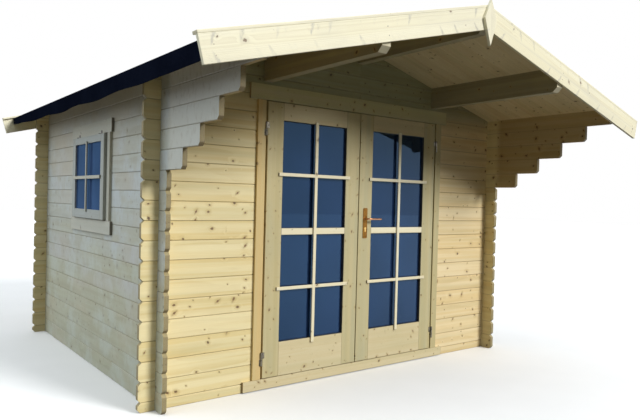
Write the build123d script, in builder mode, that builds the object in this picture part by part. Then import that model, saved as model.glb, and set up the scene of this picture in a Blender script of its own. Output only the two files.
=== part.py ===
from build123d import *
from math import ceil, cos, radians, sin, tan
import os

# A log summer house built of square logs that cross and lock at the corners, with a deep
# canopy carried by stepped bracket logs, a glazed double door and a window in each side wall.
# X runs along the front, Y from front to rear, Z up; the origin is on the ground, mid-house.

# Fits
fit = 0.3
running_fit = 0.05

# Logs
course = 114
log_thickness = 28
log_groove = 4
corner_tail = 100
tail_bevel = 18
wall_courses = 16
bracket_courses = 5
bracket_step = 196

# House
house_width = 2970
house_depth = 2490
eaves_trim = 12

# Floor
joist_size = 44
joist_count = 5
floor_thickness = 19

# Roof
roof_pitch = 15
eaves_overhang = 228
rear_overhang = 230
roof_board_thickness = 19
felt_thickness = 3
left_felt_drop = 95
right_felt_drop = 25
ridge_felt_width = 260
purlin_width = 58
purlin_depth = 150
purlin_offset = 775
purlin_end_bevel = 30
ridge_purlin_depth = 125

# Bargeboards
barge_thickness = 18
barge_height = 122
barge_overhang = 314
cap_thickness = 14
cap_width = 42
finial_thickness = 18
finial_half_width = 55
finial_rise = 112
finial_drop = 152
finial_below_ridge = 49

# Door frame
jamb_board_width = 59
jamb_reveal = 9
trim_thickness = 18
lining_thickness = 30
inner_board_width = 60
door_stop = 12
head_lining_height = 32
head_board_height = 97
head_board_overhang = 57
threshold_top = 71
sill_board_bottom = 6
sill_board_overhang = 67

# Door leaves
leaf_width = 774
leaf_thickness = 40
leaf_gap = 5
meeting_gap = 8
leaf_stile = 120
leaf_top_rail = 112
leaf_bottom_rail = 220
leaf_middle_rail = 42
glass_thickness = 4
glass_rebate = 8
glass_setback = 20

# Door hinges
hinge_height = 88
hinge_barrel_radius = 6.5
hinge_pin_radius = 3.5
hinge_plate_width = 12
hinge_plate_thickness = 2
hinge_low_inset = 104
hinge_top_inset = 154

# Handle
handle_plate_width = 40
handle_plate_height = 217
handle_plate_thickness = 3
handle_plate_drop = 31
handle_plate_radius = 8
lever_height = 1098
lever_neck_radius = 8
lever_neck_length = 46
lever_length = 122
lever_radius = 7
spindle_size = 8
spindle_hole_radius = 10
lock_drop = 69
lock_radius = 8.5
lock_foot_width = 10
lock_total_height = 33
lock_proud = 2

# Windows
window_centre = 1210
window_sash_width = 714
window_sash_height = 588
window_sash_bottom = 1051
window_gap = 5
window_strip_width = 53
window_trim_height = 92
window_trim_overhang = 30
window_lining = 22
window_sash_thickness = 42
window_sash_proud = 38
window_stile = 66
window_bottom_rail = 64
window_top_rail = 50
window_glass_setback = 12
window_hinge_width = 30
window_hinge_height = 26
window_hinge_thickness = 2.5
window_hinge_offset = 250

# Derived levels and positions
half_width = house_width / 2
slope = tan(radians(roof_pitch))
along = cos(radians(roof_pitch))
across = sin(radians(roof_pitch))
half_course = course / 2
notch = course / 4
side_courses = wall_courses + 1
front_wall_top = half_course + wall_courses * course
eaves_height = side_courses * course - eaves_trim
ridge_height = eaves_height + half_width * slope
gable_courses = ceil((ridge_height - front_wall_top) / course)
canopy_reach = corner_tail + bracket_courses * bracket_step
end_boards = barge_thickness + finial_thickness + 2 * fit
front_reach = canopy_reach + end_boards
rear_reach = rear_overhang + end_boards
front_y = (front_reach - rear_reach - house_depth) / 2
rear_y = front_y + house_depth
roof_front = front_y - canopy_reach
roof_rear = rear_y + rear_overhang
log_run = half_width + corner_tail

door_half = meeting_gap / 2 + leaf_width + leaf_gap
door_cut = door_half + lining_thickness + fit
jamb_inner = door_half + jamb_reveal
jamb_outer = jamb_inner + jamb_board_width
leaf_bottom = threshold_top + leaf_gap
head_bottom = front_wall_top - head_lining_height
leaf_top = head_bottom - leaf_gap
leaf_height = leaf_top - leaf_bottom
door_face = front_y - trim_thickness

os.makedirs("parts", exist_ok=True)


def save(builder, name):
    """Label a finished piece and write it to its own file."""
    builder.part.label = name
    export_step(builder.part, f"parts/{name}.step")


def wall_plane(y):
    """An upright plane across the house at depth y; an extrusion from it runs to the front."""
    return Plane.XZ.offset(-y)


def soffit(x):
    """Height of the roof boards' underside at a distance x from the middle."""
    return ridge_height - abs(x) * slope


# Outline of one log seen from its side
# A log has a notch above and below wherever another wall crosses it, and its free ends are
# cut back at the corners. Crossings are pairs of positions along the log, in order.


def log_outline(start, end, low, high, crossings, lower_notch, upper_notch, start_bevels, end_bevels):
    points = [(start + start_bevels[0], low)]
    if lower_notch:
        for near, far in crossings:
            points += [(near, low), (near, low + lower_notch), (far, low + lower_notch), (far, low)]
    points.append((end - end_bevels[0], low))
    if end_bevels[0]:
        points.append((end, low + end_bevels[0]))
    if end_bevels[1]:
        points.append((end, high - end_bevels[1]))
    points.append((end - end_bevels[1], high))
    if upper_notch:
        for near, far in reversed(crossings):
            points += [(far, high), (far, high - upper_notch), (near, high - upper_notch), (near, high)]
    points.append((start + start_bevels[1], high))
    if start_bevels[1]:
        points.append((start, high - start_bevels[1]))
    if start_bevels[0]:
        points.append((start, low + start_bevels[0]))
    return points


def log_section(outer, inner, low, high):
    """End view of one log: a bar with a bevel along both edges of its outdoor face."""
    g = log_groove if inner > outer else -log_groove
    return [
        (outer + g, low), (inner, low), (inner, high), (outer + g, high),
        (outer, high - log_groove), (outer, low + log_groove),
    ]


square_end = (0, 0)
free_end = (tail_bevel, tail_bevel)
bracket_end = (tail_bevel, 0)
left_crossing = (-half_width - fit, -half_width + log_thickness + fit)
right_crossing = (half_width - log_thickness - fit, half_width + fit)
front_crossing = (front_y - fit, front_y + log_thickness + fit)
rear_crossing = (rear_y - log_thickness - fit, rear_y + fit)


def course_levels(number):
    """Bottom and top of a numbered log of the front and rear walls; number 0 is the half log."""
    if number == 0:
        return 0, half_course
    bottom = half_course + (number - 1) * course
    return bottom + fit, bottom + course


def side_levels(number):
    """Bottom and top of a numbered log of the side walls; number 1 lies on the ground."""
    bottom = (number - 1) * course
    return bottom + (fit if number > 1 else 0), bottom + course


def cross_section_points(outer, inner, numbers):
    return [log_section(outer, inner, *course_levels(n)) for n in numbers]


# Front wall beside the door
# The logs left and right of the doorway end in the channels of the door jambs.

for name, side in (("front_wall_left", -1), ("front_wall_right", 1)):
    with BuildPart() as front_wall:
        with BuildSketch(wall_plane(front_y + log_thickness)):
            for number in range(1, wall_courses + 1):
                low, high = course_levels(number)
                if side < 0:
                    outline = log_outline(
                        -log_run, -door_cut, low, high, [left_crossing], notch, notch, free_end, square_end
                    )
                else:
                    outline = log_outline(
                        door_cut, log_run, low, high, [right_crossing], notch, notch, square_end, free_end
                    )
                Polygon(*outline, align=None)
        extrude(amount=log_thickness)
        with BuildSketch(Plane.YZ):
            for points in cross_section_points(front_y, front_y + log_thickness, range(1, wall_courses + 1)):
                Polygon(*points, align=None)
        extrude(amount=log_run, both=True, mode=Mode.INTERSECT)
    save(front_wall, name)

# Half log under the door
with BuildPart() as front_sill_log:
    with BuildSketch(wall_plane(front_y + log_thickness)):
        low, high = course_levels(0)
        Polygon(
            *log_outline(
                -log_run, log_run, low, high, [left_crossing, right_crossing], 0, notch, free_end, free_end
            ),
            align=None,
        )
    extrude(amount=log_thickness)
    with BuildSketch(Plane.YZ):
        Polygon(*log_section(front_y, front_y + log_thickness, low, high), align=None)
    extrude(amount=log_run, both=True, mode=Mode.INTERSECT)
save(front_sill_log, "front_sill_log")


# Gables
# Four logs closed off by the roof slope, with a seat cut out for each purlin.

gable_numbers = range(wall_courses + 1, wall_courses + gable_courses + 1)
mid_purlin_bottom = soffit(purlin_offset) - purlin_depth
ridge_purlin_bottom = ridge_height - ridge_purlin_depth
gable_slope = [
    (-log_run, front_wall_top), (log_run, front_wall_top), (log_run, soffit(log_run) - fit),
    (0, ridge_height - fit), (-log_run, soffit(log_run) - fit),
]


def gable_outlines():
    outlines = []
    for number in gable_numbers:
        low, high = course_levels(number)
        lower_notch = notch if number == gable_numbers[0] else 0
        outlines.append(
            log_outline(
                -log_run, log_run, low, high, [left_crossing, right_crossing], lower_notch, 0,
                square_end, square_end,
            )
        )
    return outlines


def purlin_seat(middle, bottom):
    """Outline of the slot in a gable that a purlin lies in, open at the roof slope."""
    left = middle - purlin_width / 2 - fit
    right = middle + purlin_width / 2 + fit
    return [(left, bottom - fit), (right, bottom - fit), (right, ridge_height), (left, ridge_height)]


purlin_seats = [
    purlin_seat(-purlin_offset, mid_purlin_bottom),
    purlin_seat(0, ridge_purlin_bottom),
    purlin_seat(purlin_offset, mid_purlin_bottom),
]

with BuildPart() as front_gable:
    with BuildSketch(wall_plane(front_y + log_thickness)):
        for outline in gable_outlines():
            Polygon(*outline, align=None)
        Polygon(*gable_slope, align=None, mode=Mode.INTERSECT)
        for seat in purlin_seats:
            Polygon(*seat, align=None, mode=Mode.SUBTRACT)
    extrude(amount=log_thickness)
    with BuildSketch(Plane.YZ):
        for points in cross_section_points(front_y, front_y + log_thickness, gable_numbers):
            Polygon(*points, align=None)
    extrude(amount=log_run, both=True, mode=Mode.INTERSECT)
save(front_gable, "front_gable")

# Rear wall, closed from the half log to the eaves
with BuildPart() as rear_wall:
    with BuildSketch(wall_plane(rear_y)):
        for number in range(wall_courses + 1):
            low, high = course_levels(number)
            Polygon(
                *log_outline(
                    -log_run, log_run, low, high, [left_crossing, right_crossing],
                    notch if number else 0, notch, free_end, free_end,
                ),
                align=None,
            )
    extrude(amount=log_thickness)
    with BuildSketch(Plane.YZ):
        for points in cross_section_points(rear_y, rear_y - log_thickness, range(wall_courses + 1)):
            Polygon(*points, align=None)
    extrude(amount=log_run, both=True, mode=Mode.INTERSECT)
save(rear_wall, "rear_wall")

with BuildPart() as rear_gable:
    with BuildSketch(wall_plane(rear_y)):
        for outline in gable_outlines():
            Polygon(*outline, align=None)
        Polygon(*gable_slope, align=None, mode=Mode.INTERSECT)
        for seat in purlin_seats:
            Polygon(*seat, align=None, mode=Mode.SUBTRACT)
    extrude(amount=log_thickness)
    with BuildSketch(Plane.YZ):
        for points in cross_section_points(rear_y, rear_y - log_thickness, gable_numbers):
            Polygon(*points, align=None)
    extrude(amount=log_run, both=True, mode=Mode.INTERSECT)
save(rear_gable, "rear_gable")


# Side walls
# The five top logs step forward one by one and carry the canopy; the topmost is cut to the
# roof slope. The window opening is cut through the logs.

window_middle = front_y + window_centre
sash_half = window_sash_width / 2
sash_top = window_sash_bottom + window_sash_height
window_half = sash_half + window_gap
window_low = window_sash_bottom - window_gap
window_high = sash_top + window_gap
window_cut_half = window_half + window_lining + fit
window_cut_low = window_low - window_lining - fit
window_cut_high = window_high + window_lining + fit


def side_log(number):
    low, high = side_levels(number)
    steps = max(0, number - (side_courses - bracket_courses))
    return log_outline(
        front_y - corner_tail - steps * bracket_step, rear_y + corner_tail, low, high,
        [front_crossing, rear_crossing], notch, notch,
        bracket_end if steps else free_end, free_end,
    )


def side_section(side, number):
    low, high = side_levels(number)
    outer = side * half_width
    inner = side * (half_width - log_thickness)
    if number < side_courses:
        return log_section(outer, inner, low, high)
    groove = side * log_groove
    return [
        (outer - groove, low), (inner, low), (inner, soffit(inner) - fit),
        (outer, soffit(outer) - fit), (outer, low + log_groove),
    ]


for name, side in (("left_wall", -1), ("right_wall", 1)):
    with BuildPart() as side_wall:
        with BuildSketch(Plane.YZ.offset(side * half_width)):
            for number in range(1, side_courses + 1):
                Polygon(*side_log(number), align=None)
            with Locations((window_middle, (window_cut_low + window_cut_high) / 2)):
                Rectangle(2 * window_cut_half, window_cut_high - window_cut_low, mode=Mode.SUBTRACT)
        extrude(amount=-side * log_thickness)
        with BuildSketch(wall_plane((front_y + rear_y) / 2)):
            for number in range(1, side_courses + 1):
                Polygon(*side_section(side, number), align=None)
        extrude(amount=house_depth / 2 + canopy_reach, both=True, mode=Mode.INTERSECT)
    save(side_wall, name)


# Floor
inner_half = half_width - log_thickness - fit
inner_front = front_y + log_thickness + fit
inner_rear = rear_y - log_thickness - fit
inner_middle = (inner_front + inner_rear) / 2
inner_depth = inner_rear - inner_front

joist_spacing = (inner_depth - joist_size) / (joist_count - 1)

with BuildPart() as floor_joists:
    with BuildSketch():
        for number in range(joist_count):
            with Locations((0, inner_front + joist_size / 2 + number * joist_spacing)):
                Rectangle(2 * inner_half, joist_size)
    extrude(amount=joist_size)
save(floor_joists, "floor_joists")

with BuildPart() as floor_boards:
    with BuildSketch(Plane.XY.offset(joist_size + fit)):
        with Locations((0, inner_middle)):
            Rectangle(2 * inner_half, inner_depth)
    extrude(amount=floor_thickness)
save(floor_boards, "floor_boards")


# Purlins
# They run from the front bargeboards to the rear ones; their tops are cut to the roof slope
# and their ends are bevelled below.

purlin_length = roof_rear - roof_front


def purlin_section(middle, bottom):
    left = middle - purlin_width / 2
    right = middle + purlin_width / 2
    top = [(right, soffit(right) - fit), (left, soffit(left) - fit)]
    if middle == 0:
        top.insert(1, (0, ridge_height - fit))
    return [(left, bottom), (right, bottom), *top]


for name, middle, bottom in (
    ("left_purlin", -purlin_offset, mid_purlin_bottom),
    ("ridge_purlin", 0, ridge_purlin_bottom),
    ("right_purlin", purlin_offset, mid_purlin_bottom),
):
    with BuildPart() as purlin:
        with BuildSketch(wall_plane(roof_rear)):
            Polygon(*purlin_section(middle, bottom), align=None)
        extrude(amount=purlin_length)
        lower_ends = purlin.edges().filter_by(Axis.X).group_by(Axis.Z)[0]
        chamfer(lower_ends, length=purlin_end_bevel)
    save(purlin, name)


# Roof
# Positions on a slope: u is the distance from the ridge down the slope, v the height square
# to it above the underside of the roof boards.


def roof_at(side, u, v):
    return (side * (u * along + v * across), ridge_height - u * across + v * along)


def ridge_at(side, v):
    """The point of a layer beside the plumb joint at the ridge."""
    return roof_at(side, (fit / 2 - v * across) / along, v)


def roof_layer(side, end, low, high):
    return [ridge_at(side, low), roof_at(side, end, low), roof_at(side, end, high), ridge_at(side, high)]


def roof_above(x, v):
    """The point of a layer, at height v above the boards' underside, plumb above x."""
    return (x, ridge_height - abs(x) * slope + v / along)


board_end = (half_width + eaves_overhang) / along
felt_low = roof_board_thickness + fit
felt_high = felt_low + felt_thickness

for name, side in (("left_roof_boards", -1), ("right_roof_boards", 1)):
    with BuildPart() as roof_boards:
        with BuildSketch(wall_plane(roof_rear)):
            Polygon(*roof_layer(side, board_end, 0, roof_board_thickness), align=None)
        extrude(amount=purlin_length)
    save(roof_boards, name)

# Felt, hanging loose over the eaves, with a strip over the ridge between the cap strips
edge_inner = roof_at(1, board_end, roof_board_thickness)[0] + fit
edge_outer = edge_inner + felt_thickness
edge_height = roof_above(edge_outer, felt_high)[1]

with BuildPart() as roof_felt:
    with BuildSketch(wall_plane(roof_rear)):
        for side, drop in ((-1, left_felt_drop), (1, right_felt_drop)):
            outline = [
                ridge_at(side, felt_low), roof_above(side * edge_inner, felt_low),
                (side * edge_inner, edge_height - drop), (side * edge_outer, edge_height - drop),
                (side * edge_outer, edge_height), ridge_at(side, felt_high),
            ]
            Polygon(*outline, align=None)
    extrude(amount=purlin_length)
    with BuildSketch(wall_plane(roof_rear - cap_width)):
        reach = ridge_felt_width / 2
        strip_low = felt_high + fit
        strip_high = strip_low + felt_thickness
        outline = [
            roof_at(-1, reach, strip_low), (0, ridge_height + strip_low / along),
            roof_at(1, reach, strip_low), roof_at(1, reach, strip_high),
            (0, ridge_height + strip_high / along), roof_at(-1, reach, strip_high),
        ]
        Polygon(*outline, align=None)
    extrude(amount=purlin_length - 2 * cap_width)
save(roof_felt, "roof_felt")


# Bargeboards, their cap strips and the finials
barge_end = (half_width + barge_overhang) / along
barge_low = felt_high - barge_height
cap_low = felt_high + fit
cap_high = cap_low + cap_thickness
front_barge_back = roof_front - fit
rear_barge_front = roof_rear + fit
finial_middle_height = ridge_height - finial_below_ridge

for end_name, back, direction in (("front", front_barge_back, -1), ("rear", rear_barge_front, 1)):
    outer_face = back + direction * barge_thickness
    for side_name, side in (("left", -1), ("right", 1)):
        with BuildPart() as bargeboard:
            with BuildSketch(wall_plane(back)):
                Polygon(*roof_layer(side, barge_end, barge_low, felt_high), align=None)
            extrude(amount=-direction * barge_thickness)
        save(bargeboard, f"{end_name}_{side_name}_bargeboard")

    with BuildPart() as cap_strips:
        with BuildSketch(wall_plane(outer_face)):
            for side in (-1, 1):
                Polygon(*roof_layer(side, barge_end, cap_low, cap_high), align=None)
        extrude(amount=direction * cap_width)
    save(cap_strips, f"{end_name}_cap_strips")

    with BuildPart() as finial:
        with BuildSketch(wall_plane(outer_face + direction * fit)):
            corners = [
                (-finial_half_width, finial_middle_height), (0, finial_middle_height - finial_drop),
                (finial_half_width, finial_middle_height), (0, finial_middle_height + finial_rise),
            ]
            Polygon(*corners, align=None)
        extrude(amount=-direction * finial_thickness)
    save(finial, f"{end_name}_finial")

# Door frame
# Each jamb and the head is a channel that grips the log ends: a board outside, a lining in
# the thickness of the wall and a board inside, which stands forward as the door stop. The
# outer board of a jamb is set back from its lining, which leaves room for the hinges.

frame_outer = front_y - fit
frame_inner = front_y + log_thickness + fit
frame_back = frame_inner + trim_thickness

for name, side in (("left_door_jamb", -1), ("right_door_jamb", 1)):
    with BuildPart() as jamb:
        with BuildSketch(Plane.XY.offset(threshold_top + fit)):
            outline = [
                (side * jamb_inner, door_face), (side * jamb_outer, door_face),
                (side * jamb_outer, frame_outer), (side * (door_cut - fit), frame_outer),
                (side * (door_cut - fit), frame_inner),
                (side * (door_half - door_stop + inner_board_width), frame_inner),
                (side * (door_half - door_stop + inner_board_width), frame_back),
                (side * (door_half - door_stop), frame_back), (side * (door_half - door_stop), frame_inner),
                (side * door_half, frame_inner), (side * door_half, frame_outer),
                (side * jamb_inner, frame_outer),
            ]
            Polygon(*outline, align=None)
        extrude(amount=head_bottom - fit - threshold_top - fit)
    save(jamb, name)

with BuildPart() as door_head:
    with BuildSketch(wall_plane(frame_inner)):
        with Locations((0, (head_bottom + front_wall_top) / 2)):
            Rectangle(2 * (door_cut - fit), front_wall_top - head_bottom)
    extrude(amount=frame_inner - frame_outer)
    with BuildSketch(wall_plane(frame_outer)):
        with Locations((0, head_bottom + head_board_height / 2)):
            Rectangle(2 * (jamb_outer + head_board_overhang), head_board_height)
    extrude(amount=frame_outer - door_face)
    with BuildSketch(wall_plane(frame_back)):
        with Locations((0, head_bottom - door_stop + inner_board_width / 2)):
            Rectangle(2 * (door_half - door_stop - fit), inner_board_width)
    extrude(amount=trim_thickness)
save(door_head, "door_head")

with BuildPart() as threshold:
    with BuildSketch(Plane.YZ):
        outline = [
            (door_face, sill_board_bottom), (frame_outer, sill_board_bottom),
            (frame_outer, half_course + fit), (frame_inner, half_course + fit),
            (frame_inner, threshold_top), (door_face, threshold_top),
        ]
        Polygon(*outline, align=None)
    extrude(amount=door_cut - fit, both=True)
    with BuildSketch(wall_plane(frame_outer)):
        with Locations((0, (sill_board_bottom + threshold_top) / 2)):
            Rectangle(2 * (jamb_outer + sill_board_overhang), threshold_top - sill_board_bottom)
    extrude(amount=frame_outer - door_face)
save(threshold, "threshold")


# Door leaves
# Stiles and rails with a groove for the glass; a middle rail divides the glass in two.

leaf_middle_x = meeting_gap / 2 + leaf_width / 2
light_width = leaf_width - 2 * leaf_stile
light_low = leaf_bottom + leaf_bottom_rail
light_high = leaf_top - leaf_top_rail
pane_height = (light_high - light_low - leaf_middle_rail) / 2
pane_middles = (light_low + pane_height / 2, light_high - pane_height / 2)
glass_front = door_face + glass_setback
handle_x = meeting_gap / 2 + leaf_stile / 2
leaf_back = door_face + leaf_thickness
lock_height = lever_height - lock_drop


def lock_profile(clearance, **options):
    """Face of the lock cylinder: a round with a narrower foot below it."""
    foot = lock_total_height - lock_radius + clearance
    with Locations((handle_x, lock_height)):
        Circle(lock_radius + clearance, **options)
    with Locations((handle_x, lock_height - foot / 2)):
        Rectangle(lock_foot_width + 2 * clearance, foot, **options)


for name, side in (("left", -1), ("right", 1)):
    with BuildPart() as leaf:
        with BuildSketch(wall_plane(leaf_back)):
            with Locations((side * leaf_middle_x, (leaf_bottom + leaf_top) / 2)):
                Rectangle(leaf_width, leaf_height)
            for pane_middle in pane_middles:
                with Locations((side * leaf_middle_x, pane_middle)):
                    Rectangle(light_width, pane_height, mode=Mode.SUBTRACT)
        extrude(amount=leaf_thickness)
        with BuildSketch(wall_plane(glass_front + glass_thickness + fit)):
            for pane_middle in pane_middles:
                with Locations((side * leaf_middle_x, pane_middle)):
                    Rectangle(light_width + 2 * (glass_rebate + fit), pane_height + 2 * (glass_rebate + fit))
        extrude(amount=glass_thickness + 2 * fit, mode=Mode.SUBTRACT)
        if side > 0:
            with BuildSketch(wall_plane(leaf_back)):
                with Locations((handle_x, lever_height)):
                    Circle(spindle_hole_radius)
                lock_profile(fit)
            extrude(amount=leaf_thickness, mode=Mode.SUBTRACT)
    save(leaf, f"{name}_door_leaf")

    with BuildPart() as door_glass:
        with BuildSketch(wall_plane(glass_front + glass_thickness)):
            for pane_middle in pane_middles:
                with Locations((side * leaf_middle_x, pane_middle)):
                    Rectangle(light_width + 2 * glass_rebate, pane_height + 2 * glass_rebate)
        extrude(amount=glass_thickness)
    save(door_glass, f"{name}_door_glass")


# Door hinges
# The lower knuckle and its pin belong to the jamb, the upper knuckle turns on the pin.

hinge_x = jamb_inner
hinge_y = door_face - hinge_barrel_radius - fit
hinge_heights = (leaf_bottom + hinge_low_inset, leaf_top - hinge_top_inset - hinge_height / 2)
knuckle = hinge_height / 2
plate_start = hinge_barrel_radius / 2
leaf_edge = door_half - leaf_gap


def hinge_plate(side, start, end):
    """Outline, from above, of the plate that ties a knuckle to the jamb or to the leaf."""
    near = side * start
    far = side * end
    plate_front = door_face - fit - hinge_plate_thickness
    return [(near, plate_front), (far, plate_front), (far, door_face - fit), (near, door_face - fit)]


with BuildPart() as jamb_hinges:
    for side in (-1, 1):
        for height in hinge_heights:
            with BuildSketch(Plane.XY.offset(height - knuckle / 2)):
                with Locations((side * hinge_x, hinge_y)):
                    Circle(hinge_barrel_radius)
                Polygon(*hinge_plate(side, hinge_x + plate_start, hinge_x + hinge_plate_width), align=None)
            extrude(amount=knuckle)
            with BuildSketch(Plane.XY.offset(height + knuckle / 2)):
                with Locations((side * hinge_x, hinge_y)):
                    Circle(hinge_pin_radius)
            extrude(amount=knuckle)
save(jamb_hinges, "jamb_hinges")

for name, side in (("left", -1), ("right", 1)):
    with BuildPart() as leaf_hinges:
        for height in hinge_heights:
            with BuildSketch(Plane.XY.offset(height + knuckle / 2 + fit)):
                with Locations((side * hinge_x, hinge_y)):
                    Circle(hinge_barrel_radius)
                Polygon(*hinge_plate(side, hinge_x - plate_start, leaf_edge - hinge_plate_width), align=None)
                with Locations((side * hinge_x, hinge_y)):
                    Circle(hinge_pin_radius + running_fit, mode=Mode.SUBTRACT)
            extrude(amount=knuckle)
    save(leaf_hinges, f"{name}_leaf_hinges")


# Handle
# A long plate on each face of the right leaf, one lever through both and a lock cylinder.

plate_centre_height = lever_height - handle_plate_drop

with BuildPart() as handle_plates:
    for outer in (door_face - fit, leaf_back + fit + handle_plate_thickness):
        with BuildSketch(wall_plane(outer)):
            with Locations((handle_x, plate_centre_height)):
                RectangleRounded(handle_plate_width, handle_plate_height, handle_plate_radius)
            with Locations((handle_x, lever_height)):
                Circle(lever_neck_radius + running_fit, mode=Mode.SUBTRACT)
            lock_profile(fit, mode=Mode.SUBTRACT)
        extrude(amount=handle_plate_thickness)
save(handle_plates, "handle_plates")

plate_reach = fit + handle_plate_thickness + lock_proud

with BuildPart() as lock_cylinder:
    with BuildSketch(wall_plane(leaf_back + plate_reach)):
        lock_profile(0)
    extrude(amount=leaf_thickness + 2 * plate_reach)
save(lock_cylinder, "lock_cylinder")

grip_front = door_face - lever_neck_length
grip_back = leaf_back + lever_neck_length

with BuildPart() as lever_handle:
    for start, length in ((leaf_back + lever_neck_length, lever_neck_length), (door_face, lever_neck_length)):
        with BuildSketch(wall_plane(start)):
            with Locations((handle_x, lever_height)):
                Circle(lever_neck_radius)
        extrude(amount=length)
    with BuildSketch(wall_plane(leaf_back)):
        with Locations((handle_x, lever_height)):
            Rectangle(spindle_size, spindle_size)
    extrude(amount=leaf_thickness)
    for y in (grip_front, grip_back):
        with BuildSketch(Plane.YZ.offset(handle_x)):
            with Locations((y, lever_height)):
                Circle(lever_radius)
        extrude(amount=lever_length)
save(lever_handle, "lever_handle")


# Windows
# The frame is a channel round the opening in the logs; outside it shows as two narrow strips
# between a wide top board and a wide bottom board. The sash stands forward of the strips.

strip_half = window_half + window_strip_width
trim_half = strip_half + window_trim_overhang


def window_rectangle(half, low, high, **options):
    with Locations((window_middle, (low + high) / 2)):
        Rectangle(2 * half, high - low, **options)


for name, side in (("left", -1), ("right", 1)):
    outer_skin = Plane.YZ.offset(side * (half_width + fit))
    inner_skin = Plane.YZ.offset(side * (half_width - log_thickness - fit))
    with BuildPart() as window_frame:
        with BuildSketch(inner_skin):
            window_rectangle(
                window_half + window_lining, window_low - window_lining, window_high + window_lining
            )
            window_rectangle(window_half, window_low, window_high, mode=Mode.SUBTRACT)
        extrude(amount=side * (log_thickness + 2 * fit))
        with BuildSketch(outer_skin):
            window_rectangle(strip_half, window_low, window_high)
            window_rectangle(trim_half, window_high, window_high + window_trim_height)
            window_rectangle(trim_half, window_low - window_trim_height, window_low)
            window_rectangle(window_half, window_low, window_high, mode=Mode.SUBTRACT)
        extrude(amount=side * trim_thickness)
        with BuildSketch(inner_skin):
            window_rectangle(strip_half, window_low - window_strip_width, window_high + window_strip_width)
            window_rectangle(window_half, window_low, window_high, mode=Mode.SUBTRACT)
        extrude(amount=-side * trim_thickness)
    save(window_frame, f"{name}_window_frame")

    sash_face = half_width + window_sash_proud
    light_half = sash_half - window_stile
    pane_low = window_sash_bottom + window_bottom_rail
    pane_high = sash_top - window_top_rail
    pane_back = sash_face - window_glass_setback - glass_thickness
    with BuildPart() as window_sash:
        with BuildSketch(Plane.YZ.offset(side * sash_face)):
            window_rectangle(sash_half, window_sash_bottom, sash_top)
            window_rectangle(light_half, pane_low, pane_high, mode=Mode.SUBTRACT)
        extrude(amount=-side * window_sash_thickness)
        with BuildSketch(Plane.YZ.offset(side * (pane_back - fit))):
            rebate = glass_rebate + fit
            window_rectangle(light_half + rebate, pane_low - rebate, pane_high + rebate)
        extrude(amount=side * (glass_thickness + 2 * fit), mode=Mode.SUBTRACT)
    save(window_sash, f"{name}_window_sash")

    with BuildPart() as window_glass:
        with BuildSketch(Plane.YZ.offset(side * pane_back)):
            window_rectangle(light_half + glass_rebate, pane_low - glass_rebate, pane_high + glass_rebate)
        extrude(amount=side * glass_thickness)
    save(window_glass, f"{name}_window_glass")

# Hinges of the windows, each an angle on the top board that holds the head of the sash
with BuildPart() as window_hinges:
    board_face = half_width + fit + trim_thickness
    hinge_low = sash_top + fit
    for side in (-1, 1):
        for offset in (-window_hinge_offset, window_hinge_offset):
            outline = [
                (side * (board_face + fit), hinge_low), (side * sash_face, hinge_low),
                (side * sash_face, hinge_low + window_hinge_thickness),
                (side * (board_face + fit + window_hinge_thickness), hinge_low + window_hinge_thickness),
                (side * (board_face + fit + window_hinge_thickness), hinge_low + window_hinge_height),
                (side * (board_face + fit), hinge_low + window_hinge_height),
            ]
            with BuildSketch(wall_plane(window_middle + offset + window_hinge_width / 2)):
                Polygon(*outline, align=None)
            extrude(amount=window_hinge_width)
save(window_hinges, "window_hinges")
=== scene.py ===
# %% [markdown]
# # The log summer house
# This notebook dresses the CAD model of a small log cabin in Blender. The CAD pieces come in
# first, as a fixed frame. Pieces whose shape is right keep their mesh and only get a finish.
# The others are rebuilt here with the detail of real joinery: single boards, bars, screws.

# %% Load the frame
import math
import random

import bmesh
import bpy
from mathutils import Matrix, Vector


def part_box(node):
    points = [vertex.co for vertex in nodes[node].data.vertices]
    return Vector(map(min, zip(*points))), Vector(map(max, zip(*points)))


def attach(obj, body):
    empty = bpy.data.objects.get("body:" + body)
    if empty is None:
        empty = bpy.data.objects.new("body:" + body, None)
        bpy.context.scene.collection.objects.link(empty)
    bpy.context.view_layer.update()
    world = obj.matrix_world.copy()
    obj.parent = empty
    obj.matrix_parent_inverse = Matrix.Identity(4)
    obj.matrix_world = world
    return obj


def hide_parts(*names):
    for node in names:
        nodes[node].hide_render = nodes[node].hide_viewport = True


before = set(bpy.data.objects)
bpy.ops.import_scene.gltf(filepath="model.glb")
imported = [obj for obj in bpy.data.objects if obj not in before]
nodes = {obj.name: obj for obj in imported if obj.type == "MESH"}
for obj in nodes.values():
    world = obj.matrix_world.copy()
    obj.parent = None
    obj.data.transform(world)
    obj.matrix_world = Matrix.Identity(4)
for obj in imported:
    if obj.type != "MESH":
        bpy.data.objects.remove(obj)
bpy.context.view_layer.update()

scene = bpy.context.scene
sides = (("left", -1), ("right", 1))
ends = (("front", -1), ("rear", 1))


def add_object(name, data):
    """Puts an object with this data into the scene."""
    thing = bpy.data.objects.new(name, data)
    scene.collection.objects.link(thing)
    return thing


def rectangle(first, second):
    """The four corners in turn, from the range along each side."""
    return [(first[i], second[j]) for i, j in ((0, 0), (1, 0), (1, 1), (0, 1))]


# %% [markdown]
# ## The camera
# The photograph was taken from in front of the left corner, at chest height, with a slightly
# wide lens. A camera could be aimed at a target, but a target says nothing about a level
# horizon. So its turn is written as three angles, which is how the photograph was measured:
# yaw from the rear direction towards the right, tilt above the horizon and a small roll.

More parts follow.
